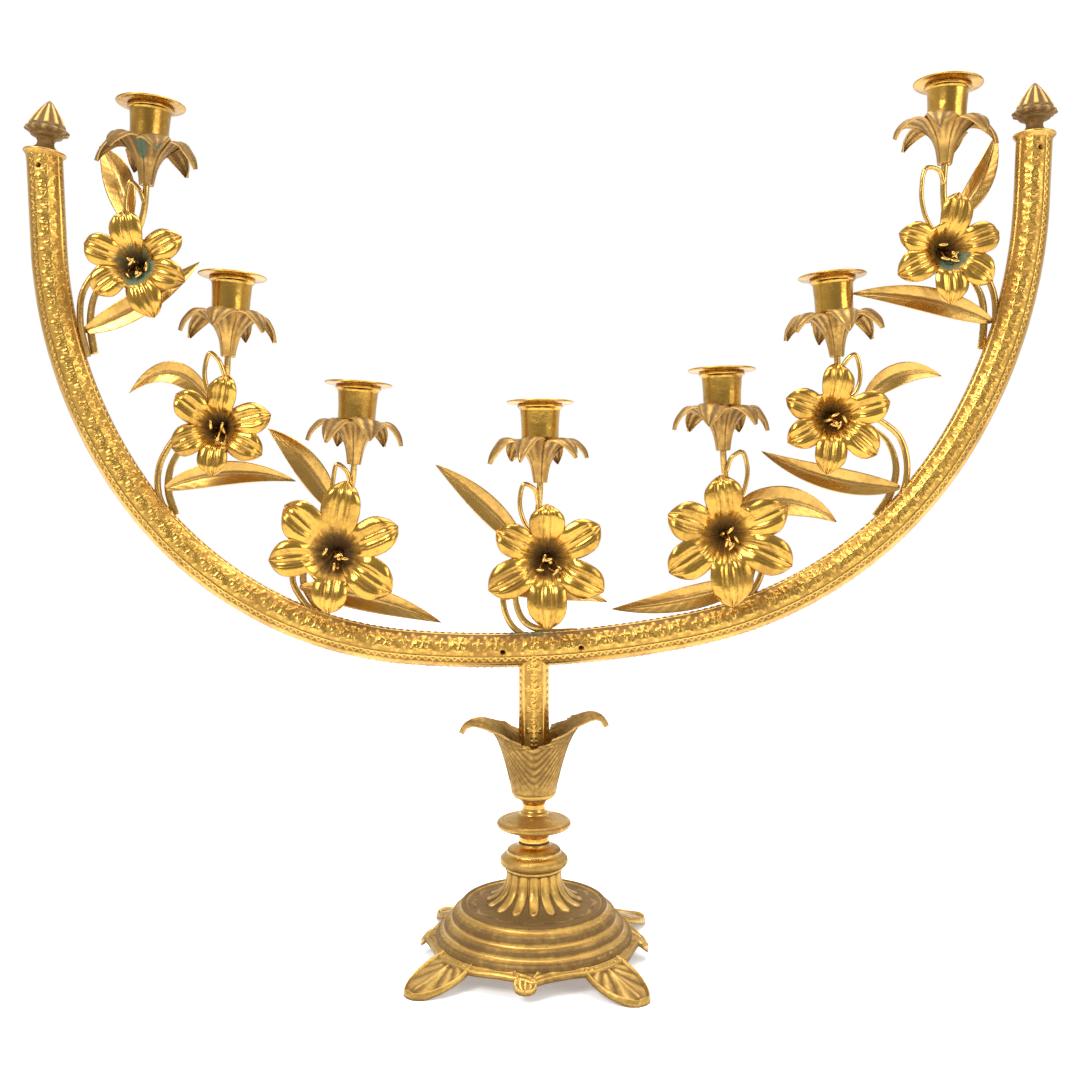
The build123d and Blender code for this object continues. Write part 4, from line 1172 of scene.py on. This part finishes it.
def gilt(name, bright, dull, patina_and_shade, clean, tarnished, blots, per_metre, depth):
    """Gilding over brass: bright and dull blots, brown patina and painted shade where the hollow mark is high,
    rubbed edges and painted highlights where the wear mark is high, and verdigris.

    clean and tarnished are its roughness where it is so; blots is how far the blots dull the gold;
    per_metre and depth are how many grains the surface's texture has to the metre, and how deep in metres.
    """
    f = Finish(name)
    hollow = f.mark("hollow")
    wear_and_sheen = f.mark("wear_and_sheen")
    green = f.mark("green")
    cloud = f.noise(*CLOUDS)
    fine = f.noise(*SPECKS)
    dust = f.noise(*DUST)
    tarnish = f.between(cloud * 0.7 + fine * 0.35, 0.42, 0.66) * blots
    deep = f.between(hollow + (fine - 0.5) * 0.5 + (cloud - 0.5) * 0.35, 0.12, 0.95)
    brightened = f.between(wear_and_sheen + (fine - 0.5) * 0.6, 0.3, 0.85)
    mould = f.between(green + (fine - 0.5) * 1.1, 0.62, 0.82)
    colour = f.blend(tarnish, bright, dull)
    # Brown patina and painted shade, where the hollow mark is high.
    colour = f.blend(deep * 0.92, colour, patina_and_shade)
    # Rubbed wear and painted highlights, where the wear mark is high.
    colour = f.blend(brightened * 0.75, colour, [min(1.0, part * 1.12 + 0.03) for part in bright])
    colour = f.blend(mould * 0.85, colour, VERDIGRIS)
    rough = clean + tarnish * (tarnished - clean) * 0.6 + deep * (0.78 - clean) * 0.6 + (dust - 0.5) * 0.08
    height = f.noise(per_metre, 4, 0.6) + dust * 0.1 + mould * 0.6
    return f.done(
        Base_Color=colour, Roughness=f.between(rough - brightened * 0.08 + mould * 0.4, 0.0, 1.0),
        Metallic=1 - (deep * 0.35).larger(mould * 0.9), Normal=f.bumpy(height, depth))


def plain_steel(name):
    """Dull stained steel, for the rod, washer and nut."""
    f = Finish(name)
    fine = f.noise(1400, 3, 0.6)
    stain = f.between(f.noise(120, 4, 0.6), 0.45, 0.7)
    return f.done(
        Base_Color=f.blend(stain, (0.42, 0.40, 0.38), (0.20, 0.13, 0.09)),
        Roughness=0.38 + stain * 0.25 + (fine - 0.5) * 0.15, Metallic=1 - stain * 0.4,
        Normal=f.bumpy(fine, 0.0001))


def pale_paper(name):
    """Matt paper that glows a little, so that the floor is as pale as the room."""
    f = Finish(name)
    return f.done(
        Base_Color=f.blend(f.noise(2, 2, 0.5), (0.93, 0.93, 0.93), (0.95, 0.95, 0.95)), Roughness=0.9,
        Emission_Color=(1.0, 1.0, 1.0, 1.0), Emission_Strength=0.3)


# bright, dull, the colour of patina and of painted shade, clean, tarnished, blots, per_metre, depth
GILTS = {
    "stamped_gilt": (
        (0.66, 0.385, 0.08), (0.47, 0.26, 0.052), (0.19, 0.093, 0.02), 0.28, 0.50, 0.8, 900, 0.0002),
    "cast_gilt": (
        (0.56, 0.34, 0.08), (0.38, 0.22, 0.055), (0.15, 0.085, 0.027), 0.34, 0.58, 0.9, 700, 0.0003),
    "turned_gilt": (
        (0.70, 0.42, 0.10), (0.50, 0.28, 0.065), (0.14, 0.075, 0.024), 0.28, 0.48, 0.9, 500, 0.0001),
    "polished_gilt": (
        (0.61, 0.345, 0.062), (0.34, 0.18, 0.036), (0.10, 0.05, 0.016), 0.27, 0.44, 0.9, 150, 0.0002),
    "satin_gilt": (
        (0.58, 0.34, 0.085), (0.41, 0.23, 0.058), (0.15, 0.083, 0.028), 0.33, 0.50, 0.8, 600, 0.00007),
    "wire_gilt": (
        (0.68, 0.43, 0.12), (0.46, 0.27, 0.065), (0.15, 0.085, 0.03), 0.26, 0.46, 0.8, 300, 0.00015),
}
FINISHES = {name: gilt(name, *look) for name, look in GILTS.items()}
FINISHES["plain_steel"] = plain_steel("plain_steel")


# ---------------------------------------------------------------- the object

for side in BOW_HALVES:
    bow_half(side)
    finial_and_cap(side)
stem()
knop()
bell()
leaf_cup()
dome()
for number in range(4):
    palmette_foot(number)
    bracket(number)
for light in LIGHTS:
    socket(light)
    calyx(light)
    branch(light)
    lily(light)
stamens()

for node, finish in {
    "tie_rod": "plain_steel", "foot_washer": "plain_steel", "foot_nut": "plain_steel",
    "stem_plug": "turned_gilt", "stem_saddle": "turned_gilt",
}.items():
    mesh = frame["nodes"][node].data
    mesh.materials.clear()
    mesh.materials.append(FINISHES[finish])


# ---------------------------------------------------------------- studio

def floor():
    """A plain pale disc under the object: a middle point and two circles of 64 points."""
    count = 64
    circles = rings(np.array([[2.9], [1.2]]), 0.0, spokes(count))
    points = np.concatenate([*circles, [[0, 0, 0]]])
    i = np.arange(count)
    after = (i + 1) % count
    outer = np.stack([i, after, after + count, i + count], -1)
    inner = np.stack([i + count, after + count, np.full(count, 2 * count)], -1)
    mesh = bpy.data.meshes.new("studio_floor")
    mesh.from_pydata(points.tolist(), [], outer.tolist() + inner.tolist())
    mesh.materials.append(pale_paper("pale_paper"))
    disc = bpy.data.objects.new("studio_floor", mesh)
    bpy.context.scene.collection.objects.link(disc)


def soft_box(name, place, aim, size, watts):
    """A square area light at place, facing aim."""
    data = bpy.data.lights.new(name, "AREA")
    data.size = size
    data.energy = watts
    lamp = bpy.data.objects.new(name, data)
    lamp.location = place
    lamp.rotation_euler = (Vector(aim) - Vector(place)).to_track_quat("-Z", "Y").to_euler()
    bpy.context.scene.collection.objects.link(lamp)


def surroundings():
    """A white room that lights the object from behind more than from the front, as a studio does."""
    world = Nodes(bpy.data.worlds.new("studio"))
    direction = world.node("ShaderNodeTexCoord", {}, {}, "Generated")
    back = world.node("ShaderNodeSeparateXYZ", {}, {0: direction}, "Y")
    depth = world.node("ShaderNodeMapRange", {}, {
        "Value": back, "From Min": -1.0, "From Max": 0.6, "To Min": 0.36, "To Max": 0.92})
    seen = world.node("ShaderNodeLightPath", {}, {}, "Is Camera Ray")
    strength = world.node("ShaderNodeMix", {}, {"Factor": seen, "A": depth, "B": 1.0}, "Result")
    white = world.node("ShaderNodeBackground", {}, {"Color": (1.0, 1.0, 1.0, 1.0), "Strength": strength})
    world.node("ShaderNodeOutputWorld", {}, {"Surface": white})
    bpy.context.scene.world = world.owner


def camera():
    """In front of the bow and level, at the height of the three middle lilies."""
    data = bpy.data.cameras.new("studio_camera")
    data.sensor_width = 36
    data.lens = 38.5
    data.shift_y = -0.0367
    data.clip_end = 50
    made = bpy.data.objects.new("studio_camera", data)
    made.location = (0.0023, -0.7475, 0.297)
    made.rotation_euler = (math.radians(90), 0, 0)
    bpy.context.scene.collection.objects.link(made)
    bpy.context.scene.camera = made


floor()
surroundings()
soft_box("key_light", place=(-1.3, -1.5, 1.9), aim=(0, 0, 0.3), size=1.0, watts=44)
soft_box("fill_light", place=(1.7, -1.2, 1.1), aim=(0, 0, 0.3), size=1.2, watts=16)
soft_box("top_light", place=(0.2, 0.4, 2.4), aim=(0, 0, 0.2), size=2.4, watts=70)
camera()
bpy.context.scene.view_settings.view_transform = "Standard"
